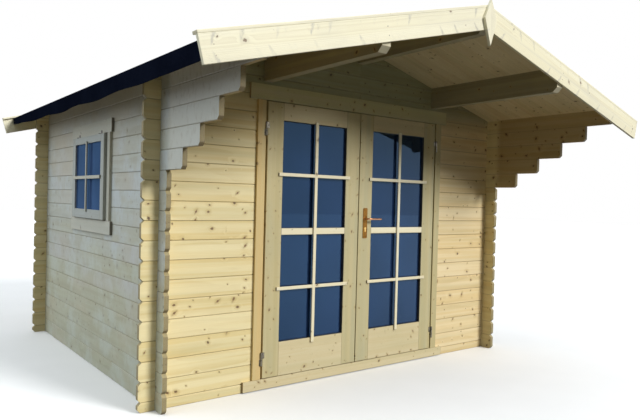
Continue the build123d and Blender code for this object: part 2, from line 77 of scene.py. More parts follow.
# %% Place the camera
camera_place = Vector((-2.877, -4.125, 1.2224))
yaw, tilt, roll = (math.radians(angle) for angle in (37.596, -0.903, 1.483))
focal_length, sensor_width = 34.427, 36
forward = Vector((math.sin(yaw) * math.cos(tilt), math.cos(yaw) * math.cos(tilt), math.sin(tilt)))
level = Vector((math.cos(yaw), -math.sin(yaw), 0))
upward = level.cross(forward)
right = level * math.cos(roll) + upward * math.sin(roll)
top = upward * math.cos(roll) - level * math.sin(roll)

camera_data = bpy.data.cameras.new("camera")
camera_data.sensor_width = sensor_width
camera_data.lens = focal_length
camera = add_object("camera", camera_data)
placing = Matrix((right, top, -forward)).transposed().to_4x4()
placing.translation = camera_place
camera.matrix_world = placing
scene.camera = camera
print("camera at", tuple(camera.location))

# %% [markdown]
# ## Shader maths as Python
# A wood pattern is a sum of many small terms. It could be wired up node by node, but then it
# can't be read. So one small class wraps a socket, and the usual operators add a Math node.

# %% A socket that takes part in sums
def joins(operation, swapped=False):
    """A method that adds a Math node between a value and another value or a number."""
    return lambda self, other: self.math(operation, *((other, self) if swapped else (self, other)))


def changes(operation):
    """A method that adds a Math node on a value alone."""
    return lambda self: self.math(operation, self)


class Value:
    def __init__(self, finish, socket):
        self.finish = finish
        self.socket = socket

    def math(self, operation, *terms):
        return self.finish.node("ShaderNodeMath", {"operation": operation}, terms)

    __add__, __radd__ = joins("ADD"), joins("ADD", swapped=True)
    __sub__, __rsub__ = joins("SUBTRACT"), joins("SUBTRACT", swapped=True)
    __mul__, __rmul__ = joins("MULTIPLY"), joins("MULTIPLY", swapped=True)
    __truediv__, __pow__ = joins("DIVIDE"), joins("POWER")
    __gt__, __lt__ = joins("GREATER_THAN"), joins("LESS_THAN")
    at_least, at_most = joins("MAXIMUM"), joins("MINIMUM")
    floor, fraction, size = changes("FLOOR"), changes("FRACT"), changes("ABSOLUTE")
    sign, sine, cosine = changes("SIGN"), changes("SINE"), changes("COSINE")


print("operators ready")

# %% [markdown]
# ## One class for a finish
# A finish is a material and the nodes behind it. Every node could be made where it is needed,
# with three lines for its sockets. One method that takes a node's type, its settings and its
# inputs does the same in one line, and short methods on top of it name the usual steps.

# %% A material and its nodes
class Finish:
    def __init__(self, name):
        self.material = bpy.data.materials.new(name)
        self.material.use_nodes = True
        self.tree = self.material.node_tree
        self.tree.nodes.clear()

    def node(self, kind, settings=None, inputs=(), out=0):
        node = self.tree.nodes.new(kind)
        for key, value in (settings or {}).items():
            setattr(node, key, value)
        for key, value in inputs.items() if isinstance(inputs, dict) else enumerate(inputs):
            if isinstance(value, Value):
                self.tree.links.new(value.socket, node.inputs[key])
            else:
                node.inputs[key].default_value = value
        return Value(self, node.outputs[out])

    def place(self, kind="Object"):
        """Where the surface is, or with Normal the way it faces."""
        return self.node("ShaderNodeTexCoord", {}, (), kind)

    def attribute(self, name, out="Fac"):
        return self.node("ShaderNodeAttribute", {"attribute_name": name}, (), out)

    def rays(self, *kinds):
        """1 for the rays of these kinds, 0 for all others."""
        outputs = self.node("ShaderNodeLightPath").socket.node.outputs
        return sum((Value(self, outputs[f"Is {kind} Ray"]) for kind in kinds), 0.0).at_most(1.0)

    def parts(self, vector):
        outputs = self.node("ShaderNodeSeparateXYZ", {}, [vector]).socket.node.outputs
        return [Value(self, outputs[axis]) for axis in "XYZ"]

    def vector(self, x, y, z=0.0):
        return self.node("ShaderNodeCombineXYZ", {}, [x, y, z])

    def noise(self, place, scale=1.0, detail=2.0, roughness=0.5):
        wanted = {"Vector": place, "Scale": scale, "Detail": detail, "Roughness": roughness}
        return self.node("ShaderNodeTexNoise", {}, wanted)

    def chance(self, seed):
        """A fixed random number from 0 to 1 for each whole number."""
        return self.node("ShaderNodeTexWhiteNoise", {"noise_dimensions": "1D"}, {"W": seed})

    def smooth(self, value, low, high, start=0.0, end=1.0):
        """Runs from start to end, softly, as the value goes from low to high."""
        wanted = {"Value": value, "From Min": low, "From Max": high, "To Min": start, "To Max": end}
        return self.node("ShaderNodeMapRange", {"interpolation_type": "SMOOTHSTEP"}, wanted)

    def mix(self, share, first, second, mode="MIX"):
        """Mixes two colours; a plain colour is three numbers."""
        pair = [(*c, 1) if isinstance(c, tuple) else c for c in (first, second)]
        settings = {"data_type": "RGBA", "blend_type": mode}
        return self.node("ShaderNodeMix", settings, {0: share, 6: pair[0], 7: pair[1]}, 2)

    def bump(self, height, distance, strength=1.0):
        wanted = {"Height": height, "Distance": distance, "Strength": strength}
        return self.node("ShaderNodeBump", {}, wanted)

    def show(self, shader, output="ShaderNodeOutputMaterial"):
        self.tree.links.new(shader.socket, self.tree.nodes.new(output).inputs["Surface"])

    def surface(self, constants, **links):
        """The Principled shader: constants stay on its sockets, links vary over the surface."""
        names = {"colour": "Base Color", "roughness": "Roughness", "normal": "Normal", "alpha": "Alpha"}
        wanted = {**constants, **{names[key]: value for key, value in links.items()}}
        self.show(self.node("ShaderNodeBsdfPrincipled", {}, wanted, "BSDF"))
        return self.material


print("finish methods ready")

# %% [markdown]
# ## Studio light
# Outdoors the sky fills the shade and the canopy throws a soft shadow on the top of the front
# wall. A picture of a sky could light the house, but then no number would say how. Here a
# white world is the sky. It looks white to the camera and in reflections, and on the house
# it is weaker, most of all near the horizon, so that the canopy stays dark from below.

# %% The world
class World(Finish):
    """The sky's nodes, made with the same node method as a finish."""

    def __init__(self, name):
        world = bpy.data.worlds.new(name)
        world.use_nodes = True
        self.tree = world.node_tree
        self.tree.nodes.clear()
        scene.world = world


horizon_fill, overhead_fill = 0.015, 1.3
sky = World("studio")
seen = sky.rays("Camera", "Glossy", "Transmission")
height = sky.parts(sky.place("Generated"))[2]
fill = sky.smooth(height, 0.10, 1.0, horizon_fill, overhead_fill)
sky_tone = sky.mix(seen, (0.93, 0.97, 1.0), (1.0, 1.0, 1.0))
sky_strength = fill * (1.0 - seen) + seen
sky.show(sky.node("ShaderNodeBackground", {}, {"Color": sky_tone, "Strength": sky_strength}),
         "ShaderNodeOutputWorld")
print("world from", horizon_fill, "at the horizon to", overhead_fill, "overhead")

# %% [markdown]
# ## Lamps
# Two wide, soft suns stand in for daylight. The strong one comes from the front right and
# lights the front wall below the canopy's shadow. The weaker, bluish one comes from the rear
# left and lights the left side, which lies in open shade outdoors. Area lamps would do as
# well, but their light falls off with distance.

# %% The lamps
def add_sun(name, strength, spread, way, colour=(1.0, 1.0, 1.0)):
    """A far lamp: spread is its width in degrees, way the direction of its light."""
    data = bpy.data.lights.new(name, "SUN")
    data.energy = strength
    data.angle = math.radians(spread)
    data.color = colour
    lamp = add_object(name, data)
    lamp.rotation_euler = Vector(way).to_track_quat("-Z", "Y").to_euler()
    print(name, "of strength", strength)


add_sun("soft_sun", 2.98, 21, (-0.42, 1.0, -0.53))
add_sun("side_fill", 1.52, 60, (1.0, -0.5, -0.37), (0.86, 0.94, 1.0))
scene.view_settings.view_transform = "Standard"

# %% [markdown]
# ## Floor
# The floor is a plain pale sheet that keeps the shadow. A bright floor would throw much light
# up under the canopy, which grass doesn't do. So only the camera and reflections see it
# pale, and the light that it returns to the house is that of a dark ground.

# %% Floor
floor_range = (-40, 40)
ground = Finish("studio_floor")
floor_tone = ground.mix(ground.noise(ground.place(), 3.0), (0.90, 0.90, 0.90), (0.94, 0.94, 0.94))
shown = ground.node("ShaderNodeBsdfDiffuse", {}, {"Color": floor_tone})
returned = ground.node("ShaderNodeBsdfDiffuse", {}, {"Color": (0.07, 0.068, 0.060, 1)})
ground.show(ground.node("ShaderNodeMixShader", {}, [ground.rays("Camera", "Glossy"), returned, shown]))

floor_mesh = bpy.data.meshes.new("studio_floor")
floor_corners = [(x, y, 0) for x, y in rectangle(floor_range, floor_range)]
floor_mesh.from_pydata(floor_corners, [], [(0, 1, 2, 3)])
floor_mesh.materials.append(ground.material)
studio_floor = add_object("studio_floor", floor_mesh)
print("floor at height 0")

# %% [markdown]
# ## Knots
# A knot is a branch that the saw cut across. Knots sit in whorls along the trunk, so a log
# has a stretch with many and then a stretch with few. They could be placed by hand, but the
# house has hundreds of boards. A Voronoi texture gives one point to each cell of a stretched
# grid, and the random colour of the cell says whether a knot is there, how large and how turned.

# %% The knots
knot_step, knot_lane = 0.13, 0.050


def knots(finish, x, y, look):
    """How much knot, halo and pull on the rings there is at a place on a face."""
    f = finish
    cells = f.vector(x / knot_step, y / knot_lane)
    wanted = {"Vector": cells, "Scale": 1.0}
    spot = f.node("ShaderNodeTexVoronoi", {"voronoi_dimensions": "2D"}, wanted, "Position")
    draw, size, kind = f.parts(Value(f, spot.socket.node.outputs["Color"]))
    centre_x, centre_y, _ = f.parts(spot)
    aside = x - centre_x * knot_step
    up = y - centre_y * knot_lane
    turn = (kind - 0.5) * 2.6
    cosine, sine = turn.cosine(), turn.sine()
    wobble = f.noise(f.vector(x * 140.0, y * 140.0), 1.0, 2.0) - 0.5
    reach = size * size * 0.0085 + 0.0036
    u = (aside * cosine + up * sine) / reach
    v = (up * cosine - aside * sine) / (reach * 0.72)
    away = (u * u + v * v) ** 0.5 + wobble * 1.1
    whorl = f.smooth(f.noise(f.vector(x * 2.7, centre_y * 0.13), 1.0, 1.0), 0.46, 0.62, 0.38, 1.4)
    there = draw > (1.0 - whorl * look["knot_share"])
    core = f.smooth(away, 0.55, 1.25, 1.0, 0.0)
    tail = f.smooth(v.size(), 0.25, 0.95, 1.0, 0.0) * f.smooth(u.size(), 0.8, 3.0, 1.0, 0.0) * (kind > 0.72)
    knot = core.at_least(tail * 0.5) * there
    halo = f.smooth(away + wobble * 2.0, 0.9, 3.2, 1.0, 0.0) * there
    pull = f.smooth(away, 0.5, 6.0, 1.0, 0.0) * there
    return knot, halo, pull, kind


print("knots every", knot_step, "m")

# %% [markdown]
# ## Branches cut lengthwise
# The bargeboards were sawn through the heart of the trunk, so their branches lie in the face
# as grey streaks that run from the middle to the edges, like a fishbone. A texture of knots
# can't show that. So the board is cut into slanting stretches, mirrored about its middle
# line, and each stretch may hold one streak that widens towards the edge.

# %% Streaks in a fishbone
streak_step, streak_lean = 0.17, 0.45


def fishbone(finish, x, y, seed):
    """Streaks from the heart line of a board to its edges."""
    f = finish
    lean = (x + y.size() * streak_lean) / streak_step
    number = lean.floor() * 2.0 + (y > 0.0) + seed
    aside = (lean.fraction() - 0.25 - f.chance(number) * 0.5) * streak_step
    wobble = (f.noise(f.vector(x * 45.0, y * 45.0), 1.0, 2.0) - 0.5) * 0.014
    width = y.size() * 0.13 + 0.003
    streak = f.smooth((aside + wobble).size() / width, 0.1, 1.7, 1.0, 0.0)
    there = f.smooth(f.chance(number + 9.0), 0.30, 0.70)
    patchy = f.smooth(f.noise(f.vector(x * 60.0, y * 30.0), 1.0, 2.0), 0.3, 0.6, 0.35, 1.0)
    return streak * there * patchy * f.smooth(y.size(), 0.004, 0.022)


print("streaks every", streak_step, "m")

# %% [markdown]
# ## Spruce
# The whole house is planed spruce. Its look has layers: the growth rings that a plank cuts
# through, the fibres along it, the knots with a darker halo, and a tone of its own for each
# plank. A wave texture could draw stripes, but stripes don't turn into arcs at a plank's end.
# So the rings are worked out as on a real trunk, as circles round a pith under the face.
# The pattern needs a place in the plank, in metres: along, across and depth, and a seed.

# %% The spruce pattern
pith_spread, pith_depth, ring_width = 0.09, 0.035, 0.0042


def spruce(finish, along, across, depth, seed, look):
    """Colour, roughness and height of planed spruce at a place in a plank."""
    f = finish
    x = along + f.chance(seed) * 37.0
    y = across + (f.chance(seed + 3.0) - 0.5) * pith_spread
    z = depth + pith_depth + f.chance(seed + 7.0) * 0.05
    knot, halo, pull, kind = knots(f, x, y + f.chance(seed + 5.0), look)

    drift = f.noise(f.vector(x * 0.9, y * 5.0, z * 5.0), 1.0, 2.0)
    radius = (y * y + z * z) ** 0.5 + drift * 0.016 + pull * 0.003 + x * 0.002
    ring = (radius / ring_width).fraction()
    late = f.smooth(ring, 0.25, 0.92) * f.smooth(ring, 0.94, 1.0, 1.0, 0.0)
    fibre = f.noise(f.vector(x * 9.0, y * 420.0, z * 420.0), 1.0, 3.0, 0.6)
    band = f.noise(f.vector(x * 0.5, y * 26.0, z * 26.0), 1.0, 2.0)
    cloud = f.noise(f.vector(x * 2.3, y * 7.0, z * 7.0), 1.0, 3.0)
    shade = f.noise(f.vector(x * 0.35, y * 15.0 + 40.0, z * 3.0), 1.0, 1.0)

    tone = f.mix(f.chance(seed + 11.0), look["pale"], look["warm"])
    tone = f.mix(late * look["figure"], tone, look["ring_colour"])
    tone = f.mix(f.smooth(band, 0.38, 0.62) * 0.55, tone, look["band"])
    tone = f.mix(f.smooth(shade, 0.48, 0.68) * 0.35, tone, look["stain_colour"])
    tone = f.mix(f.smooth(cloud, 0.45, 0.8) * look["stain"], tone, look["stain_colour"])
    tone = f.mix(f.smooth(fibre, 0.3, 0.75) * 0.16, tone, look["ring_colour"])
    if "streaks" in look:
        tone = f.mix(fishbone(f, x, across, seed) * 0.75, tone, look["streaks"])
        heart = f.smooth((across + (drift - 0.5) * 0.012).size(), 0.0004, 0.0022, 1.0, 0.0)
        tone = f.mix(heart * f.smooth(band, 0.3, 0.6) * 0.35, tone, look["streaks"])
    tone = f.mix(halo * look["halo_share"], tone, look["halo"])
    tone = f.mix(knot * 0.92, tone, f.mix(kind, look["knot_dark"], look["knot"]))
    height = fibre * 0.5 - late * 0.35 - knot * 0.6
    gloss = f.smooth(fibre, 0.2, 0.8, 0.52, 0.68) - knot * 0.12
    return tone, gloss, height


def spruce_surface(finish, tone, gloss, height):
    normal = finish.bump(height, 0.0012, 0.5)
    return finish.surface({"IOR": 1.45}, colour=tone, roughness=gloss, normal=normal)


warm_spruce = dict(
    pale=(0.80, 0.68, 0.37), warm=(0.75, 0.60, 0.28), band=(0.86, 0.77, 0.48),
    ring_colour=(0.60, 0.44, 0.17), figure=0.34, stain_colour=(0.57, 0.50, 0.25), stain=0.25,
    halo=(0.47, 0.33, 0.12), halo_share=0.42, knot=(0.17, 0.085, 0.030),
    knot_dark=(0.065, 0.032, 0.014), knot_share=0.6, sawn=(0.26, 0.17, 0.075),
)
grey_spruce = dict(
    warm_spruce, pale=(0.62, 0.66, 0.60), warm=(0.57, 0.59, 0.51), band=(0.64, 0.70, 0.67),
    ring_colour=(0.42, 0.42, 0.34), stain_colour=(0.44, 0.46, 0.40), halo=(0.34, 0.31, 0.23),
    halo_share=0.4, knot=(0.17, 0.13, 0.08), knot_dark=(0.07, 0.055, 0.04), knot_share=0.55,
)
print("spruce with rings of", ring_width, "m")

# %% [markdown]
# ## Weathered side walls
# The side walls stand in the rain, so their outdoor faces have turned bluish grey, with a
# rosy blush, dark specks along the planing marks and an even film of dust. Under the eaves
# they stay dry and brown; this brown coat is also darker than the wood, a painted shade of the
# eaves. On the logs that reach out as brackets the grey is lifted towards white, more near the
# top, as painted light. A flat grey would hide all that, so each of these is a thin coat of
# colour on top of the spruce, with a noise of its own size that says where it lies.

# %% Coats of weather
bracket_back, bracket_front, dust = -0.90, -0.97, 0.5


def weathered_and_painted_light(f, place, number, tone):
    """Spruce after some seasons outdoors, with painted shade under the eaves and painted light on the
    brackets; number is the log's own number.
    """
    _, y, z = place
    rain = f.noise(f.vector(y * 4.0, z * 3.5, number * 0.45), 1.0, 4.0, 0.6)
    tone = f.mix(f.smooth(rain, 0.44, 0.64) * 0.70, tone, (0.69, 0.78, 0.84))
    blush = f.noise(f.vector(y * 1.3, z * 2.4, number), 1.0, 2.0)
    tone = f.mix(f.smooth(blush, 0.48, 0.66) * 0.35, tone, (0.66, 0.60, 0.52))
    # Painted shade: under the eaves the coat is browner and darker, partly dry wood and partly shade.
    sheltered_and_shaded = f.smooth(z + (blush - 0.5) * 0.9, 1.35, 1.85) * (y > -0.82)
    tone = f.mix(sheltered_and_shaded * 0.75, tone, (0.58, 0.52, 0.39))
    # Painted light: the brackets' outer faces are lifted towards pale grey, more near their top.
    bracket_painted_light = f.mix(f.smooth(z, 1.60, 1.82), (0.79, 0.81, 0.75), (0.98, 0.98, 0.94))
    tone = f.mix(f.smooth(y, bracket_front, bracket_back, 0.9, 0.0), tone, bracket_painted_light)
    mottle = f.noise(f.vector(y * 34.0, z * 15.0, number), 1.0, 3.0, 0.6)
    tone = f.mix(f.smooth(mottle, 0.50, 0.74) * 0.40, tone, (0.48, 0.44, 0.36))
    foot = f.smooth(z + (blush - 0.5) * 1.2, 0.50, 1.05, 0.7, 0.0)
    tone = f.mix(foot, tone, (0.97, 0.93, 0.70), "MULTIPLY")
    chatter = f.noise(f.vector(y * 170.0, z * 12.0, number), 1.0, 2.0)
    worn = (f.smooth(chatter, 0.66, 0.80) * 0.8).at_least(dust)
    return f.mix(worn * 0.6, tone, (0.28, 0.24, 0.16))


print("weather from", bracket_back, "m backwards, brackets from", bracket_front, "m forwards")

# %% [markdown]
# ## Logs
# The logs keep their CAD mesh, which already has the notched corners. Every log needs its own
# tone and its own knots. They could each get a material, but a wall is one piece of the
# frame. So the seed is the number of the course, worked out from the height. Front and rear
# logs lie half a course higher than those of the side walls. A dark line of dust lies in the
# joints, and the cut ends are darker, with a painted shade along their lower corners. The top
# of the front wall under the canopy is darkened and turned greenish as painted shade, and the
# side walls' logs that reach out under the canopy get a painted shade on their inner faces.

# %% Finish for the logs
course = 0.114
half_course = course / 2


def log_finish(name, run, start, look, outer_look=None, joint_share=0.5):
    """Spruce for a wall of logs. run is the axis they lie along, start the first joint's height."""
    f = Finish(name)
    place, facing = f.parts(f.place()), f.parts(f.place("Normal"))
    lengthwise = "XY".index(run)
    steps = (place[2] - start) / course
    number, within = steps.floor(), steps.fraction()
    seed = number + (place[0] > 0.0) * 40.0 + (place[1] > 0.6) * 90.0
    spot = (place[lengthwise], (within - 0.5) * course, place[1 - lengthwise], seed)
    tone, gloss, height = spruce(f, *spot, look)
    if outer_look:
        outdoor = weathered_and_painted_light(f, place, number, spruce(f, *spot, outer_look)[0])
        outward = facing[0] * place[0].sign()
        tone = f.mix(f.smooth(outward, 0.35, 0.6), tone, outdoor)
        # Painted shade: the side walls' log faces that reach out under the canopy, except the outer ones,
        # are darkened.
        canopy_painted_shade = f.smooth(place[1], bracket_front, bracket_back, 1.0, 0.0) * (outward < 0.3)
        tone = f.mix(canopy_painted_shade * 0.95, tone, (0.66, 0.58, 0.52), "MULTIPLY")
    else:
        front = place[1] < 0.0
        tone = f.mix(f.smooth(place[0], 0.6, 0.9) * front, tone, (1.02, 0.965, 1.0), "MULTIPLY")
        # Painted shade: the top of the front wall and its gable, under the canopy, is darkened and turned
        # greenish.
        tone = f.mix(f.smooth(place[2], 1.78, 1.98) * front * 0.95, tone, (0.37, 0.43, 0.42), "MULTIPLY")
    end_face = f.smooth(facing[lengthwise].size(), 0.45, 0.8)
    speck = f.noise(f.vector(*(axis * 160.0 for axis in place)), 1.0, 2.0)
    end_tone_and_shade = f.mix(f.smooth(speck, 0.45, 0.7) * 0.5, (0.27, 0.22, 0.11), (0.16, 0.11, 0.05))
    # Painted shade: the lower corner of each log's cut end is nearly black.
    low_corner_painted_shade = f.smooth(within + (speck - 0.5) * 0.15, 0.03, 0.30, 1.0, 0.0)
    end_tone_and_shade = f.mix(low_corner_painted_shade * 0.85, end_tone_and_shade, (0.050, 0.034, 0.018))
    tone = f.mix(end_face * 0.92, tone, end_tone_and_shade)
    joint = f.smooth(0.5 - (within - 0.5).size(), 0.006, 0.030, 1.0, 0.0) * (1.0 - end_face)
    tone = f.mix(joint * joint_share, tone, (0.17, 0.11, 0.05))
    return spruce_surface(f, tone, gloss, height)


def dress(material, *names):
    for name in names:
        nodes[name].data.materials.clear()
        nodes[name].data.materials.append(material)
    print(material.name, "on", ", ".join(names))


front_logs = log_finish("front_logs", "X", half_course, warm_spruce)
side_logs = log_finish("side_logs", "Y", 0.0, warm_spruce, grey_spruce, 0.42)
dress(front_logs, "front_wall_left", "front_wall_right", "front_sill_log", "front_gable")
dress(front_logs, "rear_wall", "rear_gable")
dress(side_logs, "left_wall", "right_wall")

# %% [markdown]
# ## Planks
# Doors, frames and boards are planks, and a planing machine rounds their edges. Cubes could be
# scaled to size, but their grain would stretch and their edges stay knife-sharp. One maker
# takes the outline of a plank's face, its thickness and the direction of its grain, bevels
# it, and notes for each vertex its place in the plank. The finish reads that place, so the
# grain always runs along the plank, also where it stands upright or lies on the slope.

# %% A maker of planks
def around(count):
    """Each point of a ring with the next one."""
    return [(index, (index + 1) % count) for index in range(count)]


def prism(outline, depth):
    """A flat piece with sharp edges; depth is the vector from its face to its back."""
    form = bmesh.new()
    near = [form.verts.new(point) for point in outline]
    far = [form.verts.new(Vector(point) + Vector(depth)) for point in outline]
    form.faces.new(near)
    form.faces.new(far[::-1])
    for here, there in around(len(near)):
        form.faces.new((near[here], far[here], far[there], near[there]))
    return form


def round_edges(form, edge):
    bmesh.ops.bevel(form, geom=form.edges[:], offset=edge, segments=2, profile=0.6,
                    affect="EDGES", clamp_overlap=True)


class Planks:
    """Planks that are gathered into one mesh for one body."""

    def __init__(self, name, seed):
        self.name = name
        self.draw = random.Random(seed)
        self.points, self.faces, self.grain, self.plank, self.reach = [], [], [], [], []

    def add(self, outline, depth, run, edge=0.0015):
        """outline: the corners of one face; depth: vector to the face behind; run: the grain."""
        piece = prism(outline, depth)
        bmesh.ops.recalc_face_normals(piece, faces=piece.faces)
        if edge:
            round_edges(piece, edge)
        inward, run = Vector(depth).normalized(), Vector(run).normalized()
        across = inward.cross(run)
        middle = sum((Vector(point) for point in outline), Vector()) / len(outline)
        start, number = len(self.points), self.draw.randint(1, 900)
        piece.verts.index_update()
        half_length = max(abs((vertex.co - middle).dot(run)) for vertex in piece.verts)
        for vertex in piece.verts:
            place = vertex.co - middle
            self.points.append(vertex.co[:])
            self.grain += [place.dot(run), place.dot(across), place.dot(inward)]
            self.plank.append(number)
            self.reach.append(half_length)
        self.faces += [[start + vertex.index for vertex in face.verts] for face in piece.faces]
        piece.free()

    def bar(self, start, end, run, thin, edge=0.0015):
        """A straight plank between two corners; run and thin are axis letters."""
        low, high = zip(*(sorted(pair) for pair in zip(start, end)))
        t = "XYZ".index(thin)
        u, v = (axis for axis in range(3) if axis != t)
        corners = []
        for place in rectangle((low[u], high[u]), (low[v], high[v])):
            corner = list(low)
            corner[u], corner[v] = place
            corners.append(corner)
        depth = [(high[axis] - low[axis]) * (axis == t) for axis in range(3)]
        self.add(corners, depth, [float(letter == run) for letter in "XYZ"], edge)

    def lay(self, *rows, side=1):
        """Bars from rows of x, y and z range, run, thin axis and edge; side -1 mirrors them."""
        for (x0, x1), (y0, y1), (z0, z1), *way in rows:
            self.bar((x0 * side, y0, z0), (x1 * side, y1, z1), *way)

    def mesh(self):
        mesh = bpy.data.meshes.new(self.name)
        mesh.from_pydata(self.points, [], self.faces)
        mesh.attributes.new("grain", "FLOAT_VECTOR", "POINT").data.foreach_set("vector", self.grain)
        mesh.attributes.new("plank", "FLOAT", "POINT").data.foreach_set("value", self.plank)
        mesh.attributes.new("reach", "FLOAT", "POINT").data.foreach_set("value", self.reach)
        return mesh

    def show(self, material, body="root", replaced=(), slot="joinery_wood"):
        place_piece(self.name, self.mesh(), material, body, replaced)


def place_piece(name, mesh, material, body, replaced):
    """Shows a finished mesh as a piece of a body, in place of CAD nodes."""
    mesh.materials.clear()
    mesh.materials.append(material)
    piece = add_object(name, mesh)
    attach(piece, body)
    if replaced:
        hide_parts(*replaced)
    print(name, len(mesh.polygons), "faces")


print("plank maker ready")

# %% [markdown]
# ## Woods of the joinery
# Every group of planks was sawn from wood of its own tone: greenish leaves, a yellow jamb,
# creamy bargeboards, grey windows, and dull purlins whose dark faces are painted shade. They
# could share one finish and be told apart by the lamps only. Here each has the same spruce
# pattern with its own colours, so the tones also hold in other light. The sawn end of a plank
# is darker than its face; on the window boards and the glazing bars that near-black end is
# painted shade.

# %% Finishes for planks
def plank_finish(name, base, **changes):
    """A finish for planks; the changes are where its look differs from a base look."""
    f, look = Finish(name), dict(base, **changes)
    along, across, depth = f.parts(f.attribute("grain", "Vector"))
    tone, gloss, height = spruce(f, along, across, depth, f.attribute("plank"), look)
    # The end of each plank gets its own colour: darker end grain, and on window boards and bars painted
    # shade.
    sawn = f.smooth(f.attribute("reach") - along.size(), 0.0005, 0.0035, 1.0, 0.0)
    return spruce_surface(f, f.mix(sawn * 0.75, tone, look["sawn"]), gloss, height)


door_look = dict(
    warm_spruce, pale=(0.55, 0.47, 0.25), warm=(0.50, 0.42, 0.20), band=(0.59, 0.51, 0.29),
    ring_colour=(0.48, 0.39, 0.19), stain_colour=(0.40, 0.40, 0.26), stain=0.45,
    knot_share=0.62, figure=0.3,
)
door_wood = plank_finish("door_spruce", door_look)
rail_wood = plank_finish(
    "rail_spruce", door_look, pale=(0.65, 0.55, 0.325), warm=(0.60, 0.49, 0.27), band=(0.69, 0.60, 0.38),
    ring_colour=(0.56, 0.44, 0.21), stain_colour=(0.51, 0.46, 0.25), knot_share=0.6, stain=0.3)
head_wood = plank_finish(
    "head_spruce", door_look, pale=(0.53, 0.50, 0.25), warm=(0.48, 0.45, 0.21), knot_share=0.6)
jamb_wood = plank_finish(
    "jamb_spruce", warm_spruce, pale=(0.66, 0.50, 0.23), warm=(0.60, 0.40, 0.14), band=(0.68, 0.50, 0.21),
    ring_colour=(0.58, 0.38, 0.14), knot_share=0.16, figure=0.3)
pale_wood = plank_finish(
    "pale_spruce", warm_spruce, pale=(0.88, 0.83, 0.60), warm=(0.84, 0.78, 0.54), band=(0.92, 0.88, 0.68),
    ring_colour=(0.68, 0.60, 0.41), stain_colour=(0.64, 0.61, 0.49), knot_share=0.16, figure=0.42,
    sawn=(0.52, 0.45, 0.29), halo=(0.60, 0.54, 0.40), stain=0.4, streaks=(0.47, 0.45, 0.38))
# Painted shade: the glazing bars' near-black ends.
bar_wood = plank_finish(
    "bar_spruce", warm_spruce, pale=(0.84, 0.76, 0.51), warm=(0.80, 0.70, 0.45), band=(0.90, 0.85, 0.64),
    ring_colour=(0.74, 0.64, 0.42), stain_colour=(0.64, 0.61, 0.49), knot_share=0.40, figure=0.15,
    sawn=(0.14, 0.10, 0.05))
board_wood = plank_finish(
    "board_spruce", warm_spruce, pale=(0.80, 0.67, 0.41), warm=(0.70, 0.55, 0.31), band=(0.83, 0.71, 0.46),
    ring_colour=(0.55, 0.40, 0.19))
# Painted shade: the window boards' near-black ends.
window_wood = plank_finish(
    "window_spruce", grey_spruce, pale=(0.53, 0.51, 0.41), warm=(0.47, 0.44, 0.34), band=(0.56, 0.56, 0.48),
    knot_share=0.35, figure=0.25, sawn=(0.06, 0.048, 0.028))
sash_wood = plank_finish(
    "sash_spruce", grey_spruce, pale=(0.40, 0.43, 0.41), warm=(0.37, 0.38, 0.33), band=(0.44, 0.48, 0.47),
    ring_colour=(0.30, 0.30, 0.24), stain_colour=(0.30, 0.31, 0.25), knot_share=0.25, figure=0.25)
print("plank finishes ready")

# %% [markdown]
# ## Door leaves
# A leaf is two upright stiles with rails between them. It could be one board with a hole and
# drawn joints. As separate planks it shows a fine joint where rail meets stile, and the grain
# turns there, as on a real door. The rails are a little paler than the stiles, so they are
# a piece of their own.

# %% Stiles and rails
planed_edge = 0.002
stile, top_rail, middle_rail, bottom_rail = 0.120, 0.112, 0.042, 0.220
leaf_low, leaf_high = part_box("left_door_leaf")
pane_low = leaf_low.z + bottom_rail
pane_high = leaf_high.z - top_rail
middle_height = (pane_low + pane_high) / 2
middle_low, middle_top = middle_height - middle_rail / 2, middle_height + middle_rail / 2
panes = [(pane_low, middle_low), (middle_top, pane_high)]

for side, sign in sides:
    low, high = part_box(f"{side}_door_leaf")
    inner, outer, thick = low.x + stile, high.x - stile, (low.y, high.y)
    stiles = Planks(f"{side}_leaf_stiles", 17 + 6 * sign)
    stiles.lay(((low.x, inner), thick, (low.z, high.z), "Z", "Y", planed_edge),
               ((outer, high.x), thick, (low.z, high.z), "Z", "Y", planed_edge))
    stiles.show(door_wood, f"{side}_leaf", [f"{side}_door_leaf"])
    rails = Planks(f"{side}_leaf_rails", 20 + 6 * sign)
    rails.lay(((inner, outer), thick, (low.z, pane_low), "X", "Y", planed_edge),
              ((inner, outer), thick, (pane_high, high.z), "X", "Y", planed_edge))
    rails.show(rail_wood, f"{side}_leaf")

# %% [markdown]
# ## Glazing bars
# Each leaf has a middle rail between its panes and thin battens that lie on both faces and
# lap over the frame: one across each pane and a long upright one. They could be let into the
# frame as real glazing bars are, but on this door the ends of the battens show on the
# stiles, so they are made as battens. The upright one is a little thicker, so the faces
# never lie in one plane where they cross.

# %% Bars of the doors
bar_width, bar_proud, bar_lap, bar_edge = 0.022, 0.0105, 0.032, 0.003
upright_more, upright_below, upright_above = 0.001, 0.030, 0.013
for side, sign in sides:
    low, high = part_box(f"{side}_door_leaf")
    inner, outer, centre = low.x + stile, high.x - stile, (low.x + high.x) / 2
    bars = Planks(f"{side}_leaf_glazing_bars", 34 + 3 * sign)
    bars.lay(((inner, outer), (low.y, high.y), (middle_low, middle_top), "X", "Y", planed_edge))
    for face, out in ((low.y, -1), (high.y, 1)):
        for bottom, above in panes:
            height = (bottom + above) / 2
            bars.lay(((inner - bar_lap, outer + bar_lap), (face, face + out * bar_proud),
                      (height - bar_width / 2, height + bar_width / 2), "X", "Y", bar_edge))
        half = bar_width / 2 + upright_more
        bars.lay(((centre - half, centre + half), (face, face + out * (bar_proud + upright_more)),
                  (pane_low - upright_below, pane_high + upright_above), "Z", "Y", bar_edge))
    bars.show(bar_wood, f"{side}_leaf")

